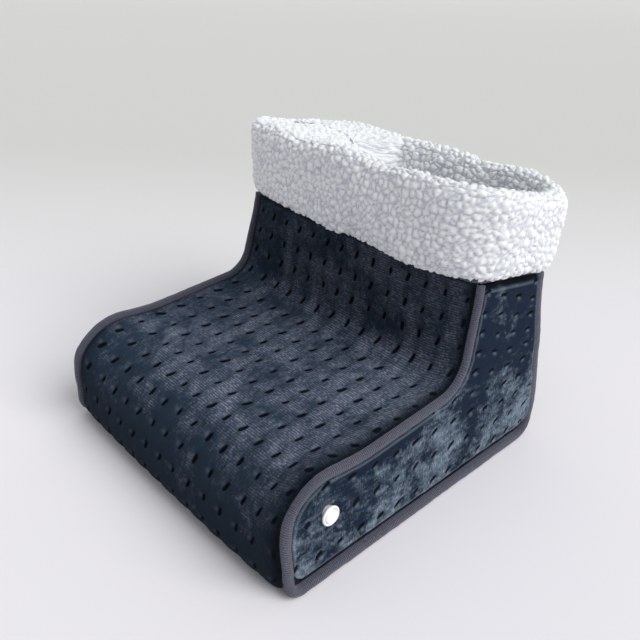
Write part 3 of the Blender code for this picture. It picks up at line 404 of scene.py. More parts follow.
class Piece:
    """Points and faces on their way to becoming an object."""

    def __init__(self, name: str) -> None:
        """Starts an empty piece."""
        self.name = name
        self.points: list[Array] = []
        self.faces: list[Sequence[int]] = []
        self.values: dict[str, list[Array]] = {}
        self.count = 0

    def add_points(self, points: Array, **values: Array) -> Array:
        """Adds points.

        Args:
            points: Points as an (..., 3) array.
            **values: Values at the points, which the finishes read.

        Returns:
            The points' numbers in the same layout.
        """
        shape = points.shape[:-1]
        flat = points.reshape(-1, 3)
        numbers = np.arange(self.count, self.count + len(flat)).reshape(shape)
        self.points.append(flat)
        for label, value in values.items():
            self.values.setdefault(label, []).append(np.broadcast_to(value, shape).reshape(-1))
        self.count += len(flat)
        return numbers

    def add_grid(self, numbers: Array, closed: bool = False, flip: bool = False) -> None:
        """Joins a grid of points with quads.

        Args:
            numbers: Grid of point numbers.
            closed: Joins the last column to the first.
            flip: Turns the faces round.
        """
        if closed:
            numbers = np.column_stack([numbers, numbers[:, 0]])
        a, b, c, d = numbers[:-1, :-1], numbers[:-1, 1:], numbers[1:, 1:], numbers[1:, :-1]
        order = (a, d, c, b) if flip else (a, b, c, d)
        self.faces.extend(np.stack(order, axis=-1).reshape(-1, 4).tolist())

    def add_ring(self, rows: Array) -> None:
        """Joins a grid of point numbers that closes both ways."""
        self.add_grid(np.vstack([rows, rows[:1]]), closed=True)

    def add_walls(self, front: Array, back: Array) -> None:
        """Joins the four edges of two grids of point numbers."""
        for select in ((0, slice(None)), (-1, slice(None)), (slice(None), 0), (slice(None), -1)):
            self.add_grid(np.stack([front[select], back[select]]))

    def add_triangles(self, numbers: Array, triangles: Array, flip: bool) -> None:
        """Joins numbered points with triangles, turned over when flip is set."""
        turned = numbers[triangles]
        self.faces.extend((turned[:, ::-1] if flip else turned).tolist())

    def finish(self, material: bpy.types.Material, slot: str, node: str, fill: float | None = None) -> None:
        """Makes the object, dresses it and ties it to the shoe.

        Args:
            material: Its finish.
            slot: The record's material slot; not used.
            node: Model node that it stands for.
            fill: How tightly it is stuffed, for a padded piece; not used.
        """
        data = bpy.data.meshes.new(self.name)
        data.from_pydata(np.vstack(self.points).tolist(), [], self.faces)
        for label, parts in self.values.items():
            layer = data.attributes.new(label, "FLOAT", "POINT")
            layer.data.foreach_set("value", np.concatenate(parts).astype(np.float32))
        data.shade_smooth()
        data.materials.append(material)
        item = bpy.data.objects.new(self.name, data)
        bpy.context.scene.collection.objects.link(item)
        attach(item, "shoe")
        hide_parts(node)
        LOG.info("%s: %d points, %d faces", self.name, len(data.vertices), len(data.polygons))


@dataclass(frozen=True)
class DimpleGrid:
    """Square grid of short stitched slits in the plush, each with a raised lip."""

    pitch: float
    first_across: float
    first_along: float
    slant: float
    slit_half_width: float = 0.0014
    slit_half_length: float = 0.0033
    slit_depth: float = 0.0016
    bowl_radius: float = 0.0050
    bowl_depth: float = 0.0007
    channel_depth: float = 0.0005
    channel_half_width: float = 0.0042
    lip_height: float = 0.00025
    lip_radius: float = 0.0020
    lip_place: tuple = (-0.0028, 0.0008)
    swell: float = 0.00035
    scatter: float = 0.0009
    depth_scatter: float = 0.2
    slant_scatter: float = 0.22
    size_scatter: float = 0.2
    end_room_share: float = 0.025
    shares: tuple = (
        -0.5, -0.37, -0.26, -0.18, -0.125, -0.085, -0.045, 0.0, 0.045, 0.085, 0.125, 0.18, 0.26, 0.37)
    long_shares: tuple = (-0.5, -0.36, -0.25, -0.17, -0.11, -0.055, 0.0, 0.055, 0.11, 0.17, 0.25, 0.36)

    def marks(self, low: float, high: float, first: float, shares: tuple) -> Array:
        """Lays out coordinates, closest together at the dimples.

        Args:
            low: Least coordinate.
            high: Most.
            first: A coordinate that has a dimple.
            shares: Places within one pitch, as shares of it.

        Returns:
            The coordinates, from low to high.
        """
        start = math.floor((low - first) / self.pitch) - 1
        stop = math.ceil((high - first) / self.pitch) + 1
        marks = first + self.pitch * np.add.outer(np.arange(start, stop + 1), np.array(shares)).ravel()
        room = self.pitch * self.end_room_share
        inside = marks[(marks > low + room) & (marks < high - room)]
        return np.concatenate([[low], inside, [high]])

    @staticmethod
    def chance(row: Array, column: Array, seed: float) -> Array:
        """A settled random value from -1 to 1 for each dimple."""
        wave = np.sin(row * 12.9898 + column * 78.233 + seed) * 43758.5453
        return 2 * (wave - np.floor(wave)) - 1

    def relief(self, across: Array, along: Array) -> dict[str, Array]:
        """Shape of the plush round its dimples.

        Args:
            across: Distance across from the first column.
            along: Distance along from the first row.

        Returns:
            Depth below the smooth surface in metres, and the shares of slit, lip and channel.
        """
        column, row = np.round(across / self.pitch), np.round(along / self.pitch)
        off_across = across - column * self.pitch - self.scatter * self.chance(row, column, 1.0)
        off_along = along - row * self.pitch - self.scatter * self.chance(row, column, 2.0)
        strength = 1 + self.depth_scatter * self.chance(row, column, 3.0)
        leaned = off_across - (self.slant + self.slant_scatter * self.chance(row, column, 4.0)) * off_along
        size = 1 + self.size_scatter * self.chance(row, column, 5.0)
        ends = (off_along / self.slit_half_length / size) ** 4
        slit = np.exp(-(leaned / (self.slit_half_width * size)) ** 2 - ends)
        bowl = np.exp(-(off_across ** 2 + off_along ** 2) / self.bowl_radius ** 2)
        channel = np.exp(-(off_across / self.channel_half_width) ** 2)
        lip_across, lip_along = off_across - self.lip_place[0], off_along - self.lip_place[1]
        lip = np.exp(-(lip_across ** 2 + lip_along ** 2) / self.lip_radius ** 2)
        swell = np.cos(math.pi * across / self.pitch) ** 2 * np.cos(math.pi * along / self.pitch) ** 2
        depth = (self.slit_depth * slit + self.bowl_depth * bowl) * strength + self.channel_depth * channel
        depth = depth + self.swell * swell - self.lip_height * lip * strength
        return {"depth": depth, "slit": slit, "lip": lip * (1 - slit), "channel": channel}


class Graph:
    """Short way to lay out the nodes of a material or group."""

    def __init__(self, tree: bpy.types.NodeTree) -> None:
        """Works on a node tree."""
        self.tree = tree

    def node(self, kind: str, settings: dict | None = None, **sockets: object) -> bpy.types.Node:
        """Adds a node.

        Args:
            kind: Node type without its ShaderNode prefix.
            settings: Properties to set on it.
            **sockets: Input values or output sockets; an underscore stands for a space.

        Returns:
            The node.
        """
        node = self.tree.nodes.new("ShaderNode" + kind)
        for label, value in (settings or {}).items():
            setattr(node, label, value)
        for label, value in sockets.items():
            socket = self.socket(node, label)
            if isinstance(value, bpy.types.NodeSocket):
                self.tree.links.new(value, socket)
            else:
                socket.default_value = value
        return node

    @staticmethod
    def socket(node: bpy.types.Node, label: str) -> Socket:
        """Finds an input.

        Args:
            node: The node.
            label: Its name with underscores for spaces, or i and its number.

        Returns:
            The input.
        """
        if label[0] == "i" and label[1:].isdigit():
            return node.inputs[int(label[1:])]
        return node.inputs[label.replace("_", " ")]

    def maths(self, operation: str, *values: Socket | float, clamp: bool = False) -> Socket:
        """A Math node's result."""
        inputs = {f"i{index}": value for index, value in enumerate(values)}
        return self.node("Math", {"operation": operation, "use_clamp": clamp}, **inputs).outputs[0]

    def ramp(self, value: Socket, low: float, high: float, first: tuple, last: tuple) -> Socket:
        """Blends from first to last as value climbs from low to high."""
        share = self.node("MapRange", {"interpolation_type": "SMOOTHSTEP"}, i0=value, i1=low, i2=high)
        return self.mix(share.outputs[0], first, last)

    def mix(self, share: Socket, first: Socket | tuple, last: Socket | tuple) -> Socket:
        """Colour mix of first and last."""
        return self.node("Mix", {"data_type": "RGBA"}, i0=share, i6=first, i7=last).outputs[2]

    def tint(self, tone: Socket, mask: Socket, share: float, tint: tuple) -> Socket:
        """A tone with a share of another colour where the mask is 1."""
        return self.mix(self.maths("MULTIPLY", mask, share), tone, tint)

    def attribute(self, name: str) -> Socket:
        """A value kept on the mesh's points."""
        return self.node("Attribute", {"attribute_name": name}).outputs["Fac"]

    def where(self) -> Socket:
        """Object coordinates."""
        return self.node("TexCoord").outputs["Object"]

    def stretched(self, where: Socket, scale: tuple) -> Socket:
        """Coordinates stretched along the axes."""
        return self.node("Mapping", None, Vector=where, Scale=scale).outputs[0]

    def warped(self, where: Socket, scale: float, reach: float) -> Socket:
        """Coordinates moved about by noise of a scale, by up to a reach."""
        warp = self.node("TexNoise", None, Vector=where, Scale=scale, Detail=2.0).outputs["Color"]
        moved = self.node("VectorMath", {"operation": "MULTIPLY_ADD"}, i0=warp, i1=(reach,) * 3, i2=where)
        return moved.outputs[0]

    def bump(self, shader: bpy.types.Node, *layers: tuple[Socket, float]) -> None:
        """Feeds a shader's Normal.

        Args:
            shader: The shader.
            *layers: Heights, each with its depth in metres.
        """
        normal = None
        for height, distance in layers:
            node = self.node("Bump", None, Height=height, Distance=distance, Strength=1.0)
            if normal is not None:
                self.tree.links.new(normal, node.inputs["Normal"])
            normal = node.outputs[0]
        self.tree.links.new(normal, shader.inputs["Normal"])


def set_inputs(node: bpy.types.Node, **values: float | tuple) -> bpy.types.Node:
    """Sets a node's inputs to constants.

    Args:
        node: The node.
        **values: The constants by input; an underscore stands for a space.

    Returns:
        The node.
    """
    for label, value in values.items():
        Graph.socket(node, label).default_value = value
    return node


def colour(red: float, green: float, blue: float) -> tuple:
    """Linear colour with full alpha from screen values of 0 to 255."""
    parts = [part / 255 for part in (red, green, blue)]
    return (*((p / 12.92 if p <= 0.04045 else ((p + 0.055) / 1.055) ** 2.4) for p in parts), 1.0)


class Effects:
    """Shader groups that several finishes share."""

    def __init__(self) -> None:
        """Makes the groups once."""
        self.nap = self.build_nap()
        self.fibres = self.build_fibres()
        self.grain = self.build_grain()

    @staticmethod
    def start(name: str, inputs: dict[str, float], outputs: Sequence[str]) -> tuple:
        """Starts a group with float sockets.

        Args:
            name: Its name.
            inputs: Its inputs with their usual values.
            outputs: Its outputs.

        Returns:
            Its tree, graph, input node and output node.
        """
        tree = bpy.data.node_groups.new(name, "ShaderNodeTree")
        for label, value in inputs.items():
            socket = tree.interface.new_socket(label, in_out="INPUT", socket_type="NodeSocketFloat")
            socket.default_value = value
        for label in outputs:
            tree.interface.new_socket(label, in_out="OUTPUT", socket_type="NodeSocketFloat")
        graph = Graph(tree)
        return tree, graph, tree.nodes.new("NodeGroupInput"), tree.nodes.new("NodeGroupOutput")

    def build_nap(self) -> bpy.types.NodeTree:
        """Lay of the nap: broad strokes where the pile leans another way, and fine streaks.

        Returns:
            The group's tree, with the output Lay.
        """
        tree, graph, given, result = self.start(
            "nap", {"Stroke Scale": 60.0, "Streak Scale": 900.0, "Streaks": 0.5}, ["Lay"])
        where = graph.where()
        moved = graph.warped(where, 38.0, 0.018)
        strokes = graph.node("TexNoise", None, Vector=moved, Detail=4.0, Roughness=0.62)
        tree.links.new(given.outputs["Stroke Scale"], strokes.inputs["Scale"])
        squeezed = graph.stretched(where, (1.0, 0.22, 0.5))
        streaks = graph.node("TexNoise", None, Vector=squeezed, Detail=3.0, Roughness=0.7)
        tree.links.new(given.outputs["Streak Scale"], streaks.inputs["Scale"])
        fine = graph.maths("MULTIPLY", streaks.outputs["Fac"], given.outputs["Streaks"])
        lay = graph.maths("ADD", strokes.outputs["Fac"], graph.maths("SUBTRACT", fine, 0.25))
        tree.links.new(lay, result.inputs["Lay"])
        return tree

    def build_fibres(self) -> bpy.types.NodeTree:
        """Short matted fibres.

        Returns:
            The group's tree, with the output Height.
        """
        tree, graph, given, result = self.start("fibres", {"Scale": 700.0}, ["Height"])
        moved = graph.warped(graph.where(), 260.0, 0.006)
        fuzz = graph.node("TexNoise", None, Vector=moved, Detail=5.0, Roughness=0.75)
        tree.links.new(given.outputs["Scale"], fuzz.inputs["Scale"])
        tree.links.new(fuzz.outputs["Fac"], result.inputs["Height"])
        return tree

    def build_grain(self) -> bpy.types.NodeTree:
        """Fine moulded or brushed grain and slow unevenness.

        Returns:
            The group's tree, with the outputs Height and Unevenness.
        """
        tree, graph, given, result = self.start("grain", {"Scale": 1500.0}, ["Height", "Unevenness"])
        where = graph.where()
        fine = graph.node("TexNoise", None, Vector=where, Detail=3.0)
        tree.links.new(given.outputs["Scale"], fine.inputs["Scale"])
        slow = graph.node("TexNoise", None, Vector=where, Scale=60.0, Detail=3.0)
        tree.links.new(fine.outputs["Fac"], result.inputs["Height"])
        tree.links.new(slow.outputs["Fac"], result.inputs["Unevenness"])
        return tree


def new_material(name: str) -> tuple[bpy.types.Material, Graph, bpy.types.Node]:
    """Starts a material.

    Args:
        name: Its name.

    Returns:
        The material, its graph and its shader.
    """
    material = bpy.data.materials.new(name)
    material.use_nodes = True
    return material, Graph(material.node_tree), material.node_tree.nodes["Principled BSDF"]


def use_group(graph: Graph, group: bpy.types.NodeTree, **values: float) -> bpy.types.Node:
    """Places a shared group in a material with its own values."""
    return set_inputs(graph.node("Group", {"node_tree": group}), **values)


@dataclass(frozen=True)
class Plush:
    """Short charcoal-blue velour with a lay that catches the light.

    A gain is a factor and an offset, and a share says how much of its colour a mask brings. The near-black
    tone that the masks bring is painted shade, laid into the slits, channels, seam tucks and on upright
    faces; the light tone they bring is a painted highlight on the lips and flecks.
    """

    name: str
    dark: tuple
    light: tuple
    painted_shade_tone: tuple
    painted_highlight_tone: tuple
    stroke_scale: float
    contrast: tuple
    sheen: float
    fleck_shape: tuple
    upright_shade_share: float = 0.0
    ribs: float = 0.0
    rib_pitch: float = 0.0021
    rib_warp: float = 9.0
    fleck_scale: float = 640.0
    patch_gain: tuple = (3.2, -1.1)
    fleck_gain: tuple = (5.0, -2.4)
    slit_shade_gain: tuple = (4.0, -0.6)
    fleck_glint_share: float = 0.7
    lip_highlight_share: float = 0.3
    channel_shade_share: float = 0.5
    slit_shade_share: float = 0.96
    tuck_shade_share: float = 0.9

    def material(self, effects: Effects) -> bpy.types.Material:
        """Builds the finish.

        Args:
            effects: The shared groups.

        Returns:
            The material.
        """
        material, graph, shader = new_material(self.name)
        nap = use_group(graph, effects.nap, Stroke_Scale=self.stroke_scale, Streak_Scale=520.0, Streaks=0.5)
        fibres = use_group(graph, effects.fibres, Scale=900.0)
        # The per-point light attribute read here is painted light: lighter where light falls, darker at the
        # toe.
        lay = graph.maths("ADD", nap.outputs["Lay"], graph.attribute("shine"))
        flecks = self.flecks(graph)
        tone = graph.ramp(lay, *self.contrast, self.dark, self.light)
        patches = graph.maths("MULTIPLY_ADD", lay, *self.patch_gain, clamp=True)
        ribs = graph.maths("MULTIPLY_ADD", self.ribbing(graph, flecks), self.ribs, flecks)
        tufts = graph.maths("MULTIPLY_ADD", ribs, *self.fleck_gain, clamp=True)
        bright = graph.maths("MULTIPLY", patches, tufts)
        # Painted shade: the slits are darkened as shade down in their recess.
        slit = graph.maths("MULTIPLY_ADD", graph.attribute("slit"), *self.slit_shade_gain, clamp=True)
        for mask, share, tint in (
                # painted highlight: flecks glint where single tufts catch the light
                (bright, self.fleck_glint_share, self.painted_highlight_tone),
                # painted highlight on the raised lips beside the slits
                (graph.attribute("lip"), self.lip_highlight_share, self.painted_highlight_tone),
                # painted shade down the channels between the columns of dimples
                (graph.attribute("channel"), self.channel_shade_share, self.dark),
                # painted shade on upright faces, as if turned away from the light above
                (self.upright(graph), self.upright_shade_share, self.painted_shade_tone),
                (slit, self.slit_shade_share, self.painted_shade_tone),
                # painted shade along the seams, where the plush tucks under the tape
                (graph.attribute("tuck"), self.tuck_shade_share, self.painted_shade_tone)):
            tone = graph.tint(tone, mask, share, tint)
        graph.tree.links.new(tone, shader.inputs["Base Color"])
        set_inputs(shader, Roughness=0.85, Specular_IOR_Level=0.04, Sheen_Weight=self.sheen,
                   Sheen_Roughness=0.5, Sheen_Tint=colour(176, 184, 200))
        graph.bump(shader, (nap.outputs["Lay"], 0.0005), (flecks, 0.0003), (fibres.outputs["Height"], 0.0003))
        return material

    def flecks(self, graph: Graph) -> Socket:
        """Fine flecks where single tufts catch the light."""
        where = graph.stretched(graph.where(), self.fleck_shape)
        tufts = graph.node("TexNoise", None, Vector=where, Scale=self.fleck_scale, Roughness=0.6)
        return tufts.outputs["Fac"]

    def ribbing(self, graph: Graph, flecks: Socket) -> Socket:
        """Fine ribs across the strip, broken up by the flecks."""
        turn = graph.maths("MULTIPLY_ADD", graph.attribute("along"), 2 * math.pi / self.rib_pitch,
                           graph.maths("MULTIPLY", flecks, self.rib_warp))
        return graph.maths("SINE", turn)

    @staticmethod
    def upright(graph: Graph) -> Socket:
        """How far a surface stands up; upright faces get painted shade by this, as the light falls from
        above.
        """
        normal = graph.node("SeparateXYZ", None, Vector=graph.node("NewGeometry").outputs["Normal"])
        return graph.maths("SUBTRACT", 1.0, normal.outputs["Z"], clamp=True)


@dataclass(frozen=True)
class RibKnit:
    """Matte knitted tape with fine ribs across it."""

    name: str
    dark: tuple
    light: tuple
    rib_pitch: float
    cross_pitch: float
    cross_share: float = 0.2
    weave_share: float = 0.09

    def material(self, effects: Effects) -> bpy.types.Material:
        """Builds the finish.

        Args:
            effects: The shared groups.

        Returns:
            The material.
        """
        material, graph, shader = new_material(self.name)
        height = use_group(graph, effects.fibres, Scale=1100.0).outputs["Height"]
        across = graph.maths("MULTIPLY", graph.attribute("around"), 2 * math.pi / self.cross_pitch)
        along = graph.maths("MULTIPLY", graph.attribute("along"), 2 * math.pi / self.rib_pitch)
        weave = graph.maths(
            "MULTIPLY_ADD", graph.maths("SINE", across), self.cross_share, graph.maths("SINE", along))
        share = graph.maths("MULTIPLY_ADD", weave, self.weave_share, height)
        graph.tree.links.new(graph.ramp(share, 0.32, 0.7, self.dark, self.light), shader.inputs["Base Color"])
        set_inputs(shader, Roughness=0.9, Specular_IOR_Level=0.2, Sheen_Weight=0.25, Sheen_Roughness=0.5)
        graph.bump(shader, (weave, 0.00016), (height, 0.0005))
        return material


@dataclass(frozen=True)
class Sherpa:
    """White curled fleece, with painted shade down in the furrows."""

    name: str
    crown: tuple
    shade: tuple
    furrow: tuple
    furrow_shade_share: float = 0.75

    def material(self, effects: Effects) -> bpy.types.Material:
        """Builds the finish.

        Args:
            effects: The shared groups.

        Returns:
            The material.
        """
        material, graph, shader = new_material(self.name)
        height = use_group(graph, effects.fibres, Scale=620.0).outputs["Height"]
        tone = graph.ramp(height, 0.25, 0.5, self.shade, self.crown)
        # painted shade down in the furrows between the curls
        tone = graph.tint(tone, graph.attribute("furrow"), self.furrow_shade_share, self.furrow)
        graph.tree.links.new(tone, shader.inputs["Base Color"])
        set_inputs(shader, Roughness=0.95, Specular_IOR_Level=0.15, Sheen_Weight=0.1, Sheen_Roughness=0.6,
                   Subsurface_Weight=0.12, Subsurface_Radius=(0.003, 0.003, 0.003))
        graph.bump(shader, (height, 0.0008))
        return material


@dataclass(frozen=True)
class Hard:
    """Moulded plastic, metal, board or felt: one tone with grain and slow unevenness."""

    name: str
    dark: tuple
    light: tuple
    roughness: float
    metallic: float = 0.0
    grain_scale: float = 1500.0
    grain_depth: float = 0.00004
    roughness_range: float = 0.12

    def material(self, effects: Effects) -> bpy.types.Material:
        """Builds the finish.

        Args:
            effects: The shared groups.

        Returns:
            The material.
        """
        material, graph, shader = new_material(self.name)
        grain = use_group(graph, effects.grain, Scale=self.grain_scale)
        uneven = grain.outputs["Unevenness"]
        tone = graph.ramp(uneven, 0.3, 0.7, self.dark, self.light)
        graph.tree.links.new(tone, shader.inputs["Base Color"])
        rough = graph.maths(
            "MULTIPLY_ADD", uneven, self.roughness_range, self.roughness - self.roughness_range / 2)
        graph.tree.links.new(rough, shader.inputs["Roughness"])
        set_inputs(shader, Metallic=self.metallic)
        graph.bump(shader, (grain.outputs["Height"], self.grain_depth))
        return material


FINISHES = (
    Plush("plush", dark=colour(40, 53, 68), light=colour(82, 91, 108), painted_shade_tone=colour(4, 7, 12),
          painted_highlight_tone=colour(150, 152, 168), stroke_scale=36.0, contrast=(0.28, 0.80), sheen=0.04,
          fleck_shape=(0.5, 1.0, 1.0), upright_shade_share=0.62, ribs=0.12),
    Plush("side_plush", dark=colour(18, 31, 48), light=colour(114, 128, 142), painted_shade_tone=colour(4, 7, 12),
          painted_highlight_tone=colour(142, 156, 170), stroke_scale=30.0, contrast=(0.34, 0.80), sheen=0.08,
          fleck_shape=(1.0, 1.0, 0.5)),
    RibKnit("tape", dark=colour(52, 54, 68), light=colour(92, 92, 108),
            rib_pitch=0.0016, cross_pitch=0.00256),
    Sherpa("fleece", crown=colour(253, 254, 255), shade=colour(238, 241, 247), furrow=colour(184, 190, 203)),
    Hard("padding", colour(214, 210, 196), colour(230, 226, 214), 0.9, grain_scale=900.0, grain_depth=0.0003),
    Hard("grip", colour(30, 34, 42), colour(44, 48, 58), 0.75, grain_scale=1200.0, grain_depth=0.0001),
    Hard("board", colour(132, 108, 82), colour(156, 130, 100), 0.8, grain_scale=600.0, grain_depth=0.0001),
    Hard("felt", colour(196, 196, 192), colour(214, 214, 210), 0.95, grain_scale=800.0, grain_depth=0.0003),
    Hard("heater", colour(176, 52, 44), colour(196, 66, 56), 0.5),
    Hard("white_plastic", colour(240, 240, 238), colour(247, 247, 246), 0.35),
    Hard("dark_plastic", colour(30, 31, 34), colour(42, 43, 47), 0.45),
    Hard("circuit", colour(40, 116, 66), colour(52, 132, 78), 0.5),
    Hard("pin_metal", colour(206, 190, 150), colour(224, 210, 172), 0.28, metallic=1.0),
)
HIDDEN_PILE = {"slit": 0.0, "tuck": 1.0, "lip": 0.0, "channel": 0.0, "shine": 0.0, "along": 0.0}


@dataclass
class PlushPanels:
    """Dimpled plush outside of the shoe: front and top strip, back, and both sides."""

    shape: StuffedShape
    materials: dict[str, bpy.types.Material]
    strip_grid: DimpleGrid = DimpleGrid(pitch=0.0202, first_across=-0.1251, first_along=0.0087, slant=0.25)
    side_grid: DimpleGrid = DimpleGrid(pitch=0.0210, first_across=0.0, first_along=0.0, slant=0.5,
                                       bowl_depth=0.0003, lip_height=0.0, channel_depth=0.0)
    row_pitch: float = 0.0209
    strip_sink: float = 0.0010
    side_sink: float = -0.0002
    flat_sink: float = 0.0012
    thickness: float = 0.0036
    tape_width: float = 0.0080
    wrap: float = 0.0035
    strip_tuck: tuple = (0.0044, 0.0046)
    strip_shade: float = 0.0075
    strip_shine: float = 0.5
    toe_shade: float = 0.26
    toe_run: tuple = (0.040, 0.125)
    thin_foam_x: tuple = (0.092, 0.112)
    thin_foam_share: float = 0.35
    strip_swells: tuple = (Swell(0.030, 0.00035, 3.1), Swell(0.009, 0.00015, 7.7, (1.0, 0.4, 0.6)))
    side_swells: tuple = (Swell(0.024, 0.00045, 5.3), Swell(0.008, 0.0003, 1.9))
    side_spacing: float = 0.0012
    side_shine: tuple = (0.45, -1.7, 0.024)
    side_first_row: float = 1.13
    side_row_gap: float = 0.0215
    side_row_narrowing: float = 0.0215
    side_row_gap_y: float = -0.087
    side_column_gap: float = 0.0203
    side_column_widening: float = 0.030
    side_column_y: float = -0.0008
    rim: tuple = (0.0020, 0.0070)
    groove: tuple = (0.0032, 0.0048)
    bottom_groove: float = 0.0040
    bottom_groove_z: tuple = (0.014, 0.024)
    groove_depth: float = 0.0036
    edge_bead: float = 0.0006
    edge_bead_gap: float = 0.0056
    edge_bead_half_width: float = 0.0010
    flat_radii: tuple = (0.0088, 0.0125)
    button_hole: float = 0.0071
    button_y: float = -0.1112
    button_z: float = 0.0455
    inlet_x: tuple = (0.0783, 0.0973)
    inlet_z: tuple = (0.0382, 0.0498)
    hole_room: float = 0.0004
    backing_step: int = 12

    def strip(self, node: str, low: float, high: float, first: float,
              wrap: float = 0.0, hole: tuple = ()) -> None:
        """Builds a strip of plush along the outline.

        Args:
            node: The node that it replaces.
            low: Where it starts along the outline.
            high: Where it ends.
            first: Distance of the first row of dimples.
            wrap: How much further it reaches on the right, under the slipped tape.
            hole: Least and most x, then least and most distance along, of an opening in it.
        """
        grid, shape = self.strip_grid, self.shape
        edge, stretch = shape.half_width - self.tape_width, self.row_pitch / self.strip_grid.pitch
        across = grid.marks(-edge, edge + wrap, grid.first_across, grid.shares)
        along = low + stretch * grid.marks(0.0, (high - low) / stretch, first / stretch, grid.long_shares)
        if hole:
            across, along = self.with_marks(across, hole[:2]), self.with_marks(along, hole[2:])
        x, distance = np.meshgrid(across, along)
        base = shape.strip_points(x, distance, 0.0)
        relief = grid.relief(x - grid.first_across, (distance - low - first) / stretch)
        relief["depth"] *= 1 - self.thin_foam_share * smooth(np.abs(x), *self.thin_foam_x)
        gap = np.minimum(np.minimum(edge + wrap - x, edge + x),
                         2 * np.minimum(distance - low, high - distance) + self.strip_tuck[0])
        tuck = np.exp(-(np.maximum(gap, 0.0) / self.strip_tuck[0]) ** 2)
        # Painted shade band along the seam, which the tuck attribute carries.
        shade = np.exp(-(np.maximum(gap, 0.0) / self.strip_shade) ** 2)
        fade = 1 - tuck
        if hole:
            away = np.hypot(np.maximum(np.maximum(hole[0] - x, x - hole[1]), 0.0),
                            np.maximum(np.maximum(hole[2] - distance, distance - hole[3]), 0.0))
            fade = fade * smooth(away, *self.rim)
        waves = sum(swell.read(base) for swell in self.strip_swells)
        depth = self.strip_sink + (relief["depth"] - waves) * fade + tuck * self.strip_tuck[1]
        piece = Piece(node + "_plush")
        # Painted light across the strip: lighter towards +x, where the light comes from, and painted shade at
        # the toe.
        toe = 1 - smooth(np.abs(distance - shape.front_start), *self.toe_run)
        shine = x * self.strip_shine - toe * self.toe_shade
        rows = piece.add_points(
            shape.strip_points(x, distance, depth), slit=relief["slit"] * fade, tuck=shade, along=distance,
            lip=relief["lip"] * fade, channel=relief["channel"], shine=shine)
        under = shape.strip_points(x, distance, self.strip_sink + self.thickness)
        opening = [np.searchsorted(marks, value)
                   for marks, value in zip((across, across, along, along), hole)]
        self.add_backing(piece, rows, under, opening)
        piece.finish(self.materials["plush"], "plush", node, fill=0.5)

    def with_marks(self, marks: Array, extra: tuple) -> Array:
        """Marks with two more that take the place of any close by."""
        kept = [mark for mark in marks if min(abs(mark - value) for value in extra) > self.hole_room]
        return np.sort(np.array([*kept, *extra]))

    def add_backing(self, piece: Piece, rows: Array, under: Array, opening: list) -> None:
        """Adds a grid of faces, a coarser one behind it and the walls between them.

        Args:
            piece: Where to add the faces.
            rows: Point numbers of the outer grid.
            under: Points behind each of them.
            opening: First and last column, then first and last row, of a hole, or nothing.
        """
        count_rows, count = rows.shape
        left, right, low, high = opening or (0, 0, 0, 0)
        kept = sorted({*range(0, count, self.backing_step), count - 1, left, right})
        numbers = np.full(rows.shape, -1)
        select = np.zeros(rows.shape, dtype=bool)
        select[:, kept] = select[0] = select[-1] = True
        select[low, left:right] = select[high, left:right] = True
        numbers[select] = piece.add_points(under[select], **HIDDEN_PILE)
        for row in range(count_rows - 1):
            inside = low <= row < high
            spans = [(0, left + 1), (right, count)] if inside else [(0, count)]
            for start, stop in spans:
                piece.add_grid(rows[row:row + 2, start:stop], flip=True)
            for start, stop in zip(kept, kept[1:]):
                if not (inside and left <= start < right):
                    near = [numbers[row, k] for k in range(start, stop + 1) if select[row, k]]
                    far = [numbers[row + 1, k] for k in range(stop, start - 1, -1) if select[row + 1, k]]
                    piece.faces.append([int(number) for number in near + far])
        rings = [(rows[0], numbers[0]), (numbers[-1], rows[-1]), (numbers[:, 0], rows[:, 0]),
                 (rows[:, -1], numbers[:, -1])]
        if opening:
            rings += [(numbers[low, left:right + 1], rows[low, left:right + 1]),
                      (rows[high, left:right + 1], numbers[high, left:right + 1]),
                      (rows[low:high + 1, left], numbers[low:high + 1, left]),
                      (numbers[low:high + 1, right], rows[low:high + 1, right])]
        for first, second in rings:
            piece.add_grid(np.stack([first, second]))

    def side_lattice(self, y: Array, z: Array) -> tuple[Array, Array]:
        """Lattice coordinates on a side, where rows draw together towards the heel.

        Args:
            y: Along the shoe.
            z: Height.

        Returns:
            Distances up the side and along it, a whole number of pitches at each dimple.
        """
        pitch = self.side_grid.pitch
        row_gap = self.side_row_gap - self.side_row_narrowing * (y - self.side_row_gap_y)
        column_gap = self.side_column_gap + self.side_column_widening * z
        return (z / row_gap - self.side_first_row) * pitch, (y - self.side_column_y) / column_gap * pitch

    def button_ring(self) -> Array:
        """The opening for the button as (y, z) rows."""
        turn = 2 * math.pi * np.arange(36) / 36
        return np.column_stack([self.button_y + self.button_hole * np.cos(turn),
                                self.button_z + self.button_hole * np.sin(turn)])

    def side(self, side: Side) -> None:
        """Builds the plush of one side.

        Args:
            side: Which side; the right one has the opening for the button.
        """
        shape = self.shape
        loop = shape.side_loop(self.tape_width, self.tape_width, shape.seam_height, self.side_spacing)
        hole = self.button_ring() if side is Side.RIGHT else None
        y, z, gap, triangles = fill_loop(loop, self.side_spacing, hole)
        relief = self.side_grid.relief(*self.side_lattice(y, z))
        near = np.ones(len(y))
        if hole is not None:
            near = smooth(np.hypot(y - self.button_y, z - self.button_z), *self.flat_radii)
            gap[len(loop):len(loop) + len(hole)] = 1.0
        gap = gap - self.bottom_groove * (1 - smooth(z, *self.bottom_groove_z)) * (near > 0.99)
        # The groove sinks the plush at its edge and, as the tuck attribute, gets painted shade.
        tuck = 1 - smooth(gap, *self.groove)
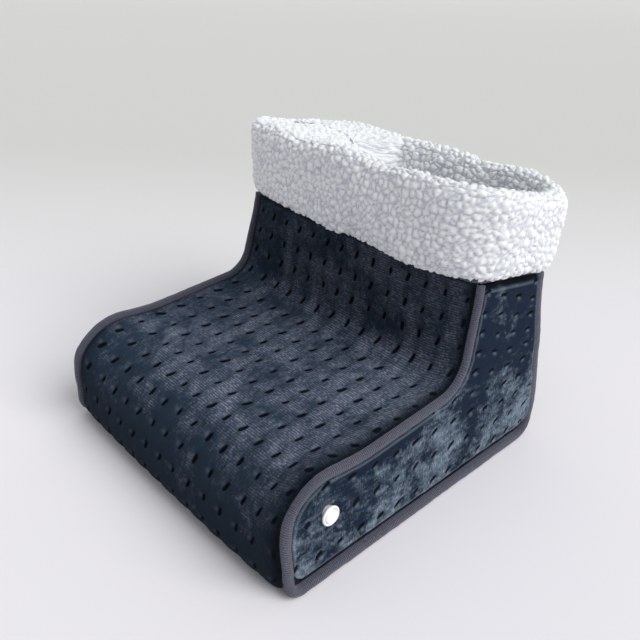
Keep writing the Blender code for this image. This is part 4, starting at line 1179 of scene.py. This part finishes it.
        # The edge bead is a small real ridge; through the lip attribute it also gets a painted highlight
        # along its line.
        bead = np.exp(-((gap - self.edge_bead_gap) / self.edge_bead_half_width) ** 2)
        base = shape.soften(np.full(len(y), side.value * shape.half_width), y, z)
        waves = sum(swell.read(base) for swell in self.side_swells)
        fade = (1 - tuck) * near
        depth = self.flat_sink + (self.side_sink - self.flat_sink) * near + tuck * self.groove_depth
        depth = depth + (relief["depth"] - waves - bead * self.edge_bead) * fade
        piece = Piece("side_panel_" + side.name.lower() + "_plush")
        points = shape.soften(side.value * (shape.half_width - depth), y, z)
        # The side gets painted light, lighter towards the back and the bottom where the sheen falls.
        numbers = piece.add_points(points, slit=relief["slit"] * fade, tuck=tuck, along=z,
                                   lip=np.maximum(relief["lip"], bead) * fade, channel=0.0,
                                   shine=y * self.side_shine[0] + z * self.side_shine[1] + self.side_shine[2])
        piece.add_triangles(numbers, triangles, flip=side is Side.LEFT)
        count = len(loop) + (0 if hole is None else len(hole))
        back = self.flat_sink + self.groove_depth + self.thickness / 2
        low = piece.add_points(
            shape.soften(side.value * (shape.half_width - back), y[:count], z[:count]), **HIDDEN_PILE)
        left = side is Side.LEFT
        piece.add_grid(np.stack([numbers[:len(loop)], low[:len(loop)]]), closed=True, flip=left)
        if hole is not None:
            rim = slice(len(loop), count)
            piece.add_grid(np.stack([numbers[rim], low[rim]]), closed=True, flip=not left)
        piece.add_triangles(low, fill_loop(loop, None, hole)[3], flip=side is Side.RIGHT)
        piece.finish(self.materials["side_plush"], "plush", "side_panel_" + side.name.lower(), fill=0.5)

    def build(self) -> None:
        """Builds every panel."""
        shape, grid = self.shape, self.strip_grid
        length = shape.outline.length
        self.strip("front_top_panel", shape.front_start, length, grid.first_along, wrap=self.wrap)
        distance = np.linspace(0.0, shape.back_end, 2000)
        height = shape.outline.at(distance)[1]
        ends = np.interp([-self.inlet_z[1], -self.inlet_z[0]], -height, distance)
        self.strip("back_panel", 0.0, shape.back_end, grid.pitch / 2, hole=(*self.inlet_x, *ends))
        for side in Side:
            self.side(side)


@dataclass
class EdgeTapes:
    """Rolled rib-knit tapes round both sides and the collar band."""

    shape: StuffedShape
    materials: dict[str, bpy.types.Material]
    spacing: float = 0.0012
    section_points: int = 26
    flatness: float = 0.9
    pucker: float = 0.0003
    puckers: tuple = (Swell(0.0065, 0.0003, 11.0), Swell(0.022, 0.00018, 2.0))
    half_across: float = 0.0043
    half_depth: tuple = (0.0060, 0.0042)
    slipped: float = 0.0017
    slip_drop_share: float = 3.0
    bottom_turn: tuple = (0.3, 0.9)
    back_turn: tuple = (0.0, 0.5)
    bottom_proud: float = 0.0020
    collar_radius: float = 0.0125
    collar_proud: float = 0.0006
    collar_inner: float = 0.0096

    def section(self) -> Array:
        """Unit cross-section of a tape: a rounded square, as rows of (out, up)."""
        angles = 2 * math.pi * np.arange(self.section_points) / self.section_points
        out = np.sign(np.cos(angles)) * np.abs(np.cos(angles)) ** self.flatness
        up = np.sign(np.sin(angles)) * np.abs(np.sin(angles)) ** self.flatness
        return np.column_stack([out, up])

    def binding(self, side: Side) -> None:
        """Builds the tape of one side.

        Args:
            side: Which side; the right tape has slipped a little.
        """
        shape, length = self.shape, self.shape.outline.length
        distance = np.linspace(0.0, length, math.ceil(length / self.spacing))[:, None]
        unit = self.section()
        y, z, normal_y, normal_z = shape.outline.at(distance)
        under = smooth(-normal_z, *self.bottom_turn)
        slip = self.slipped * (side is Side.RIGHT) * (1 - under) * (1 - smooth(normal_y, *self.back_turn))
        radius = self.half_depth[0] + (self.half_depth[1] - self.half_depth[0]) * under - slip
        across = shape.half_width + self.half_across * (unit[:, 0] - 1) + self.bottom_proud * under
        depth = radius * (1 - unit[:, 1]) + slip * self.slip_drop_share
        base = shape.soften(side.value * across, y - normal_y * depth, z - normal_z * depth)
        pucker = sum(swell.read(base) for swell in self.puckers)
        across = across + pucker * unit[:, 0] - self.pucker
        depth = depth - pucker * unit[:, 1] + self.pucker
        points = shape.soften(side.value * across, y - normal_y * depth, z - normal_z * depth)
        around = np.linspace(0.0, 6 * self.half_across, self.section_points)
        piece = Piece("binding_" + side.name.lower() + "_tape")
        rows = piece.add_points(points, around=around, along=distance)
        piece.add_grid(rows, closed=True, flip=side is Side.RIGHT)
        piece.faces.extend([rows[0].tolist(), rows[-1][::-1].tolist()])
        piece.finish(self.materials["tape"], "tape", "binding_" + side.name.lower())

    def collar(self) -> None:
        """Builds the band under the cuff."""
        shape = self.shape
        path = shape.shaft_path(self.collar_radius, self.spacing)
        low, high = shape.seam_height + shape.clearance, shape.collar_top
        middle = (self.collar_proud - self.collar_inner) / 2
        half_width = (self.collar_proud + self.collar_inner) / 2
        unit = self.section()
        out = middle + half_width * unit[:, 0]
        level = (low + high) / 2 + (high - low) / 2 * unit[:, 1]
        x, y, normal_x, normal_y = (path[:, k:k + 1] for k in range(4))
        points = shape.soften(x + normal_x * out, y + normal_y * out, level)
        steps = np.hypot(*np.diff(path[:, :2], axis=0, prepend=path[-1:, :2]).T)
        around = np.linspace(0.0, 4 * half_width, self.section_points)
        piece = Piece("collar_tape")
        piece.add_ring(piece.add_points(points, around=around, along=np.cumsum(steps)[:, None]))
        piece.finish(self.materials["tape"], "tape", "collar_binding")

    def build(self) -> None:
        """Builds every tape."""
        for side in Side:
            self.binding(side)
        self.collar()


@dataclass
class FleeceCuff:
    """Thick doubled cuff of curled fleece round the leg opening."""

    shape: StuffedShape
    materials: dict[str, bpy.types.Material]
    radius: float = 0.032
    top_front: float = 0.252
    top_back: float = 0.232
    spacing: float = 0.00115
    curls: tuple = (Curls(0.0058, 0.0023, 2.7, 0.6), Curls(0.002436, 0.0006, 8.1, 0.6))
    swells: tuple = (Swell(0.045, 0.0022, 4.4), Swell(0.018, 0.0009, 9.2))
    rim_density: float = 3.2
    rim_above: float = 0.72
    rim_within: float = 0.0145
    rim_share: float = 0.985
    closed_x: tuple = (0.016, 0.070)
    closed_out: tuple = (-0.010, 0.006)
    closed_share: tuple = (0.03, 0.2)
    raised_share: tuple = (0.5, 0.95)
    left_x: tuple = (0.02, 0.13)
    left_flat: float = 0.004
    left_dip: float = 0.004
    right_bulge: float = 0.0025
    right_bulge_x: tuple = (0.10, 0.14)
    right_bulge_out: tuple = (0.0, 0.014)
    rim_wave: float = 0.0015
    hang: float = 0.0035
    hang_x: tuple = (-0.10, -0.02)
    hang_back_share: tuple = (0.0, 0.6)
    hang_height_share: tuple = (-0.05, 0.4)
    section: tuple = (
        (-0.0060, -0.035), (0.0020, -0.060), (0.0070, -0.045), (0.0105, 0.01), (0.0128, 0.15), (0.0140, 0.35),
        (0.0148, 0.55), (0.0155, 0.72), (0.0158, 0.85), (0.0140, 0.94), (0.0095, 0.99), (0.0045, 0.99),
        (0.0000, 0.94), (-0.0030, 0.84), (-0.0055, 0.70), (-0.0088, 0.50), (-0.0120, 0.28), (-0.0145, 0.08),
        (-0.0150, -0.02), (-0.0120, -0.03))

    def section_line(self) -> Array:
        """Resamples the section, more closely at the rim.

        Returns:
            Rows of (out, height share).
        """
        rows = np.array(self.section + self.section[:1])
        tall = rows * np.array([1.0, self.top_front - self.shape.collar_top])
        steps = np.hypot(*np.diff(tall, axis=0).T)
        middle = (rows[1:] + rows[:-1]) / 2
        steps[(middle[:, 1] > self.rim_above) & (middle[:, 0] < self.rim_within)] *= self.rim_density
        reach = np.concatenate([[0.0], np.cumsum(steps)])
        marks = np.linspace(0.0, reach[-1], math.ceil(reach[-1] / self.spacing))[:-1]
        return np.column_stack([np.interp(marks, reach, rows[:, k]) for k in range(2)])

    def ring(self) -> Array:
        """Lays out the cuff before its swells and curls.

        Returns:
            Rows along its path of points round its section.
        """
        shape = self.shape
        x, y, normal_x, normal_y = shape.shaft_path(self.radius, self.spacing).T[:, :, None]
        out, height = self.section_line().T
        left, share = smooth(-x, *self.left_x), smooth(-x, *self.closed_x)
        closed = smooth(-out, *self.closed_out) * smooth(height, *self.closed_share)
        closed = closed * smooth(2 * share - height, 0.0, 1.0)
        raised = closed * smooth(share, *self.raised_share)
        bulge = self.right_bulge * smooth(x, *self.right_bulge_x) * smooth(out, *self.right_bulge_out)
        ring_x = x + normal_x * out + bulge
        ring_y = y + normal_y * (out - self.left_flat * left * np.clip(height, 0.0, 1.0))
        ring_y = shape.shaft_middle_y + (ring_y - shape.shaft_middle_y) * (1 - closed)
        back = np.clip((ring_y - shape.shaft_middle_y) / (2 * shape.shaft_half_depth) + 0.5, 0.0, 1.0)
        top = self.top_front + (self.top_back - self.top_front) * back
        top = top + self.rim_wave * np.cos(3 * math.pi * x / shape.half_width)
        top = top - self.left_dip * left * (1 - back)
        points = shape.soften(ring_x, ring_y, shape.collar_top)
        climb = height + (self.rim_share - height) * raised * (height < self.rim_share)
        points[..., 2] += (top - points[..., 2]) * climb
        low = self.hang * smooth(x, *self.hang_x) * (1 - smooth(back, *self.hang_back_share))
        points[..., 2] -= low * (1 - smooth(height, *self.hang_height_share)) * (out > 0)
        return points

    def build(self) -> None:
        """Builds the cuff."""
        points = self.ring()
        points = points + self.normals(points) * sum(swell.read(points) for swell in self.swells)[..., None]
        (lift, furrow), (small_lift, _) = (curls.read(points) for curls in self.curls)
        points = points + self.normals(points) * (lift + small_lift)[..., None]
        piece = Piece("sherpa_cuff_fleece")
        piece.add_ring(piece.add_points(points, furrow=furrow))
        piece.finish(self.materials["fleece"], "fleece", "sherpa_cuff", fill=0.7)

    @staticmethod
    def normals(points: Array) -> Array:
        """Unit normals of a grid closed both ways.

        Args:
            points: Its points as an (..., 3) array.

        Returns:
            The normals, pointing out.
        """
        along = np.roll(points, -1, axis=0) - np.roll(points, 1, axis=0)
        around = np.roll(points, -1, axis=1) - np.roll(points, 1, axis=1)
        normal = np.cross(along, around)
        return normal / np.maximum(np.linalg.norm(normal, axis=-1, keepdims=True), 1e-9)


@dataclass
class FleeceLining:
    """Curled fleece inside the shoe."""

    shape: StuffedShape
    materials: dict[str, bpy.types.Material]
    depths: tuple = (0.0104, 0.0164)
    spacing: float = 0.0032
    curls: Curls = Curls(0.0060, 0.0014, 6.3, 0.7)
    seam_room: float = 0.0007
    side_room: float = 0.0139

    def dress(self, name: str, face: Array, behind: Array) -> None:
        """Makes a curled face with its edges turned back.

        Args:
            name: The node that it replaces.
            face: Grid of points of the inner face.
            behind: The same grid on the outer face.
        """
        lift, furrow = self.curls.read(face)
        inward = face - behind
        inward = inward / np.maximum(np.linalg.norm(inward, axis=-1, keepdims=True), 1e-9)
        piece = Piece(name + "_fleece")
        rows = piece.add_points(face + inward * lift[..., None], furrow=furrow)
        piece.add_grid(rows)
        back = piece.add_points(behind, furrow=1.0)
        piece.add_grid(back, flip=True)
        piece.add_walls(rows, back)
        piece.finish(self.materials["fleece"], "fleece", name, fill=0.3)

    def strip(self, name: str, low: float, high: float) -> None:
        """Builds a lining along the outline, carried up to the collar's top.

        Args:
            name: The node that it replaces.
            low: Where it starts along the outline.
            high: Where it ends.
        """
        shape = self.shape
        edge = shape.half_width - shape.panel_edge
        x = np.linspace(-edge, edge, math.ceil(2 * edge / self.spacing))
        marks = np.linspace(low, high, math.ceil((high - low) / self.spacing))[:, None]
        faces = []
        for depth in self.depths:
            y, z, normal_y, normal_z = shape.outline.at(marks)
            y, z = y - normal_y * depth, z - normal_z * depth
            rise = np.linspace(shape.seam_height, shape.collar_top, 5)[1:, None]
            if low == 0.0:
                y, z = np.vstack([np.full_like(rise, y[0, 0]), y]), np.vstack([rise[::-1], z])
            else:
                y, z = np.vstack([y, np.full_like(rise, y[-1, 0])]), np.vstack([z, rise])
            faces.append(shape.soften(x, y, z))
        self.dress(name, faces[1], faces[0])

    def side(self, side: Side) -> None:
        """Builds the lining of one side.

        Args:
            side: Which side.
        """
        shape = self.shape
        loop = shape.side_loop(self.depths[1] + self.seam_room, shape.stack_top + shape.clearance,
                               shape.collar_top, self.spacing)
        y, z, gap, triangles = fill_loop(loop, self.spacing)
        face = shape.soften(side.value * (shape.half_width - self.depths[1]), y, z)
        lift, furrow = self.curls.read(face)
        face = face - np.array([side.value, 0.0, 0.0]) * np.where(gap > 0, lift, 0.0)[:, None]
        count = len(loop)
        behind = shape.soften(side.value * (shape.half_width - self.depths[0]), y[:count], z[:count])
        name = "lining_" + side.name.lower()
        piece = Piece(name + "_fleece")
        inner = piece.add_points(face, furrow=furrow)
        outer = piece.add_points(behind, furrow=1.0)
        piece.add_triangles(inner, triangles, flip=side is Side.RIGHT)
        piece.add_triangles(outer, fill_loop(loop, None)[3], flip=side is Side.LEFT)
        piece.add_grid(np.stack([inner[:count], outer]), closed=True, flip=side is Side.RIGHT)
        piece.finish(self.materials["fleece"], "fleece", name, fill=0.3)

    def sole(self) -> None:
        """Builds the lining over the heating pad."""
        low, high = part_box("lining_sole")
        edge = self.shape.half_width - self.side_room
        x = np.linspace(-edge, edge, math.ceil(2 * edge / self.spacing))
        y = np.linspace(low[1], high[1], math.ceil((high[1] - low[1]) / self.spacing))[:, None]
        faces = [self.shape.soften(x, y, np.full((len(y), len(x)), z)) for z in (low[2], high[2])]
        self.dress("lining_sole", faces[1], faces[0])

    def build(self) -> None:
        """Builds every lining."""
        shape = self.shape
        self.strip("lining_front_top", shape.front_start, shape.outline.length)
        self.strip("lining_back", 0.0, shape.back_end)
        for side in Side:
            self.side(side)
        self.sole()


@dataclass
class GripSole:
    """Non-slip sole: cloth with rows of raised rubber dots."""

    shape: StuffedShape
    materials: dict[str, bpy.types.Material]
    dot_pitch: float = 0.008
    dot_radius: float = 0.0017
    dot_height: float = 0.0006
    dot_shares: tuple = (-0.5, -0.3, -0.2, -0.1, 0.0, 0.1, 0.2, 0.3)
    end_room_share: float = 0.05
    thickness: float = 0.0019

    def build(self) -> None:
        """Builds the sole."""
        low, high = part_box("sole_panel")
        edge = self.shape.half_width - self.shape.panel_edge
        x, y = self.lattice(-edge, edge), self.lattice(low[1], high[1])[:, None]
        step_x = (x - np.round(x / self.dot_pitch) * self.dot_pitch) / self.dot_radius
        step_y = (y - np.round(y / self.dot_pitch) * self.dot_pitch) / self.dot_radius
        dot = np.clip(1 - (step_x ** 2 + step_y ** 2) ** 2, 0.0, 1.0)
        level = self.dot_height * (1 - dot)
        piece = Piece("sole_grip")
        rows = piece.add_points(self.shape.soften(x, y, level))
        piece.add_grid(rows, flip=True)
        upper = piece.add_points(self.shape.soften(x, y, self.thickness))
        piece.add_grid(upper)
        piece.add_walls(rows, upper)
        piece.finish(self.materials["grip"], "grip", "sole_panel")

    def lattice(self, low: float, high: float) -> Array:
        """Lays out coordinates, closest together at the dots.

        Args:
            low: Least coordinate.
            high: Most.

        Returns:
            The coordinates, from low to high.
        """
        count = math.ceil(max(abs(low), abs(high)) / self.dot_pitch) + 1
        offsets = np.array(self.dot_shares) * self.dot_pitch
        marks = np.add.outer(np.arange(-count, count + 1) * self.dot_pitch, offsets).ravel()
        room = self.dot_pitch * self.end_room_share
        inside = marks[(marks > low + room) & (marks < high - room)]
        return np.concatenate([[low], inside, [high]])


@dataclass
class HardParts:
    """Parts that keep their solids, each with its slot's finish."""

    materials: dict[str, bpy.types.Material]

    def build(self) -> None:
        """Dresses every node of the frame by the material slot it came with."""
        for name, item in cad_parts.items():
            slot = item.data.materials[0].name.split(".")[0] if item.data.materials else "dark_plastic"
            material = self.materials.get(slot, self.materials["dark_plastic"])
            for holder in item.material_slots:
                holder.material = material
            LOG.info("%s keeps its solid, in %s", name, material.name)


@dataclass
class Studio:
    """Pale floor, soft lamps and the camera."""

    azimuth: float = 46.3064
    elevation: float = 29.4532
    roll: float = -1.7268
    focal_pixels: float = 728.392
    shift_x: float = -0.0143
    shift_y: float = -0.0943
    distance: float = 0.6774
    fit_offset_y: float = -0.0082
    frame_pixels: int = 640
    sensor: float = 36.0
    clip_end: float = 50.0
    floor_front: float = -12.0
    floor_back: float = 3.0
    floor_half_width: float = 9.0
    backdrop_radius: float = 1.5
    backdrop_top: float = 6.0
    near_tone: tuple = colour(237, 234, 238)
    far_tone: tuple = colour(210, 210, 207)
    tone_run: tuple = (0.0, 0.9)
    sky_tone: tuple = (0.94, 0.97, 1.0, 1.0)
    sky_strength: float = 0.5
    sun_from: tuple = (0.70, 0.16, 0.68)
    sun_strength: float = 2.35
    sun_spread: float = 45.0

    def camera(self) -> None:
        """Places the camera."""
        turn, tilt, roll = (math.radians(a) for a in (self.azimuth, self.elevation, self.roll))
        back = Vector((math.sin(turn) * math.cos(tilt), -math.cos(turn) * math.cos(tilt), math.sin(tilt)))
        right = Vector((math.cos(turn), math.sin(turn), 0.0))
        up = back.cross(right)
        rolled_right = right * math.cos(roll) - up * math.sin(roll)
        rolled_up = right * math.sin(roll) + up * math.cos(roll)
        place = rolled_right * -self.shift_x + rolled_up * -self.shift_y + back * self.distance
        place.y += self.fit_offset_y
        data = bpy.data.cameras.new("camera")
        data.sensor_width = self.sensor
        data.lens = self.focal_pixels * self.sensor / self.frame_pixels
        data.clip_end = self.clip_end
        item = bpy.data.objects.new("camera", data)
        axes = Matrix((rolled_right, rolled_up, back)).transposed().to_4x4()
        item.matrix_world = Matrix.Translation(place) @ axes
        bpy.context.scene.collection.objects.link(item)
        bpy.context.scene.camera = item

    def daylight(self) -> None:
        """A wide sky light from one direction."""
        data = bpy.data.lights.new("daylight", "SUN")
        data.energy = self.sun_strength
        data.angle = math.radians(self.sun_spread)
        item = bpy.data.objects.new("daylight", data)
        item.matrix_world = (-Vector(self.sun_from)).to_track_quat("-Z", "Y").to_matrix().to_4x4()
        bpy.context.scene.collection.objects.link(item)

    def floor(self) -> None:
        """Pale floor that runs up into a backdrop."""
        piece, radius, turn = Piece("floor"), self.backdrop_radius, math.radians(self.azimuth)
        away = np.array([-math.sin(turn), math.cos(turn), 0.0])
        across = np.array([math.cos(turn), math.sin(turn), 0.0])
        profile = [(self.floor_front, 0.0), (0.0, 0.0), (self.floor_back, 0.0)]
        for angle in np.linspace(0.1, math.pi / 2, 12):
            profile.append((self.floor_back + radius * math.sin(angle), radius - radius * math.cos(angle)))
        profile.append((self.floor_back + radius, self.backdrop_top))
        sides = (-self.floor_half_width, self.floor_half_width)
        rows = np.array([[away * run + across * side + np.array([0.0, 0.0, rise]) for side in sides]
                         for run, rise in profile])
        piece.add_grid(piece.add_points(rows), flip=True)
        data = bpy.data.meshes.new("floor")
        data.from_pydata(np.vstack(piece.points).tolist(), [], piece.faces)
        data.shade_smooth()
        data.materials.append(self.floor_finish(away))
        item = bpy.data.objects.new("floor", data)
        bpy.context.scene.collection.objects.link(item)

    def floor_finish(self, away: Array) -> bpy.types.Material:
        """Builds the floor's finish, painted a little greyer far from the camera as painted shade for the
        light falling off there.

        Args:
            away: Direction away from the camera.

        Returns:
            The material.
        """
        material, graph, shader = new_material("floor")
        run = graph.node("VectorMath", {"operation": "DOT_PRODUCT"}, i0=graph.where(), i1=tuple(away))
        # painted shade: the floor greys with distance from the camera
        tone = graph.ramp(run.outputs["Value"], *self.tone_run, self.near_tone, self.far_tone)
        graph.tree.links.new(tone, shader.inputs["Base Color"])
        set_inputs(shader, Roughness=0.8, Specular_IOR_Level=0.1)
        return material

    def world(self) -> None:
        """Even soft light from all round."""
        world = bpy.data.worlds.new("studio")
        world.use_nodes = True
        set_inputs(world.node_tree.nodes["Background"], Color=self.sky_tone, Strength=self.sky_strength)
        bpy.context.scene.world = world

    def build(self) -> None:
        """Sets up the whole studio."""
        self.camera()
        self.floor()
        self.world()
        self.daylight()
        bpy.context.scene.view_settings.view_transform = "Standard"


def main() -> None:
    """Builds the looks of the whole foot warmer."""
    logging.basicConfig(level=logging.INFO, format="%(message)s")
    Studio().build()
    effects = Effects()
    materials = {finish.name: finish.material(effects) for finish in FINISHES}
    shape = StuffedShape()
    HardParts(materials).build()
    PlushPanels(shape, materials).build()
    EdgeTapes(shape, materials).build()
    FleeceCuff(shape, materials).build()
    FleeceLining(shape, materials).build()
    GripSole(shape, materials).build()


if __name__ == "__main__":
    main()
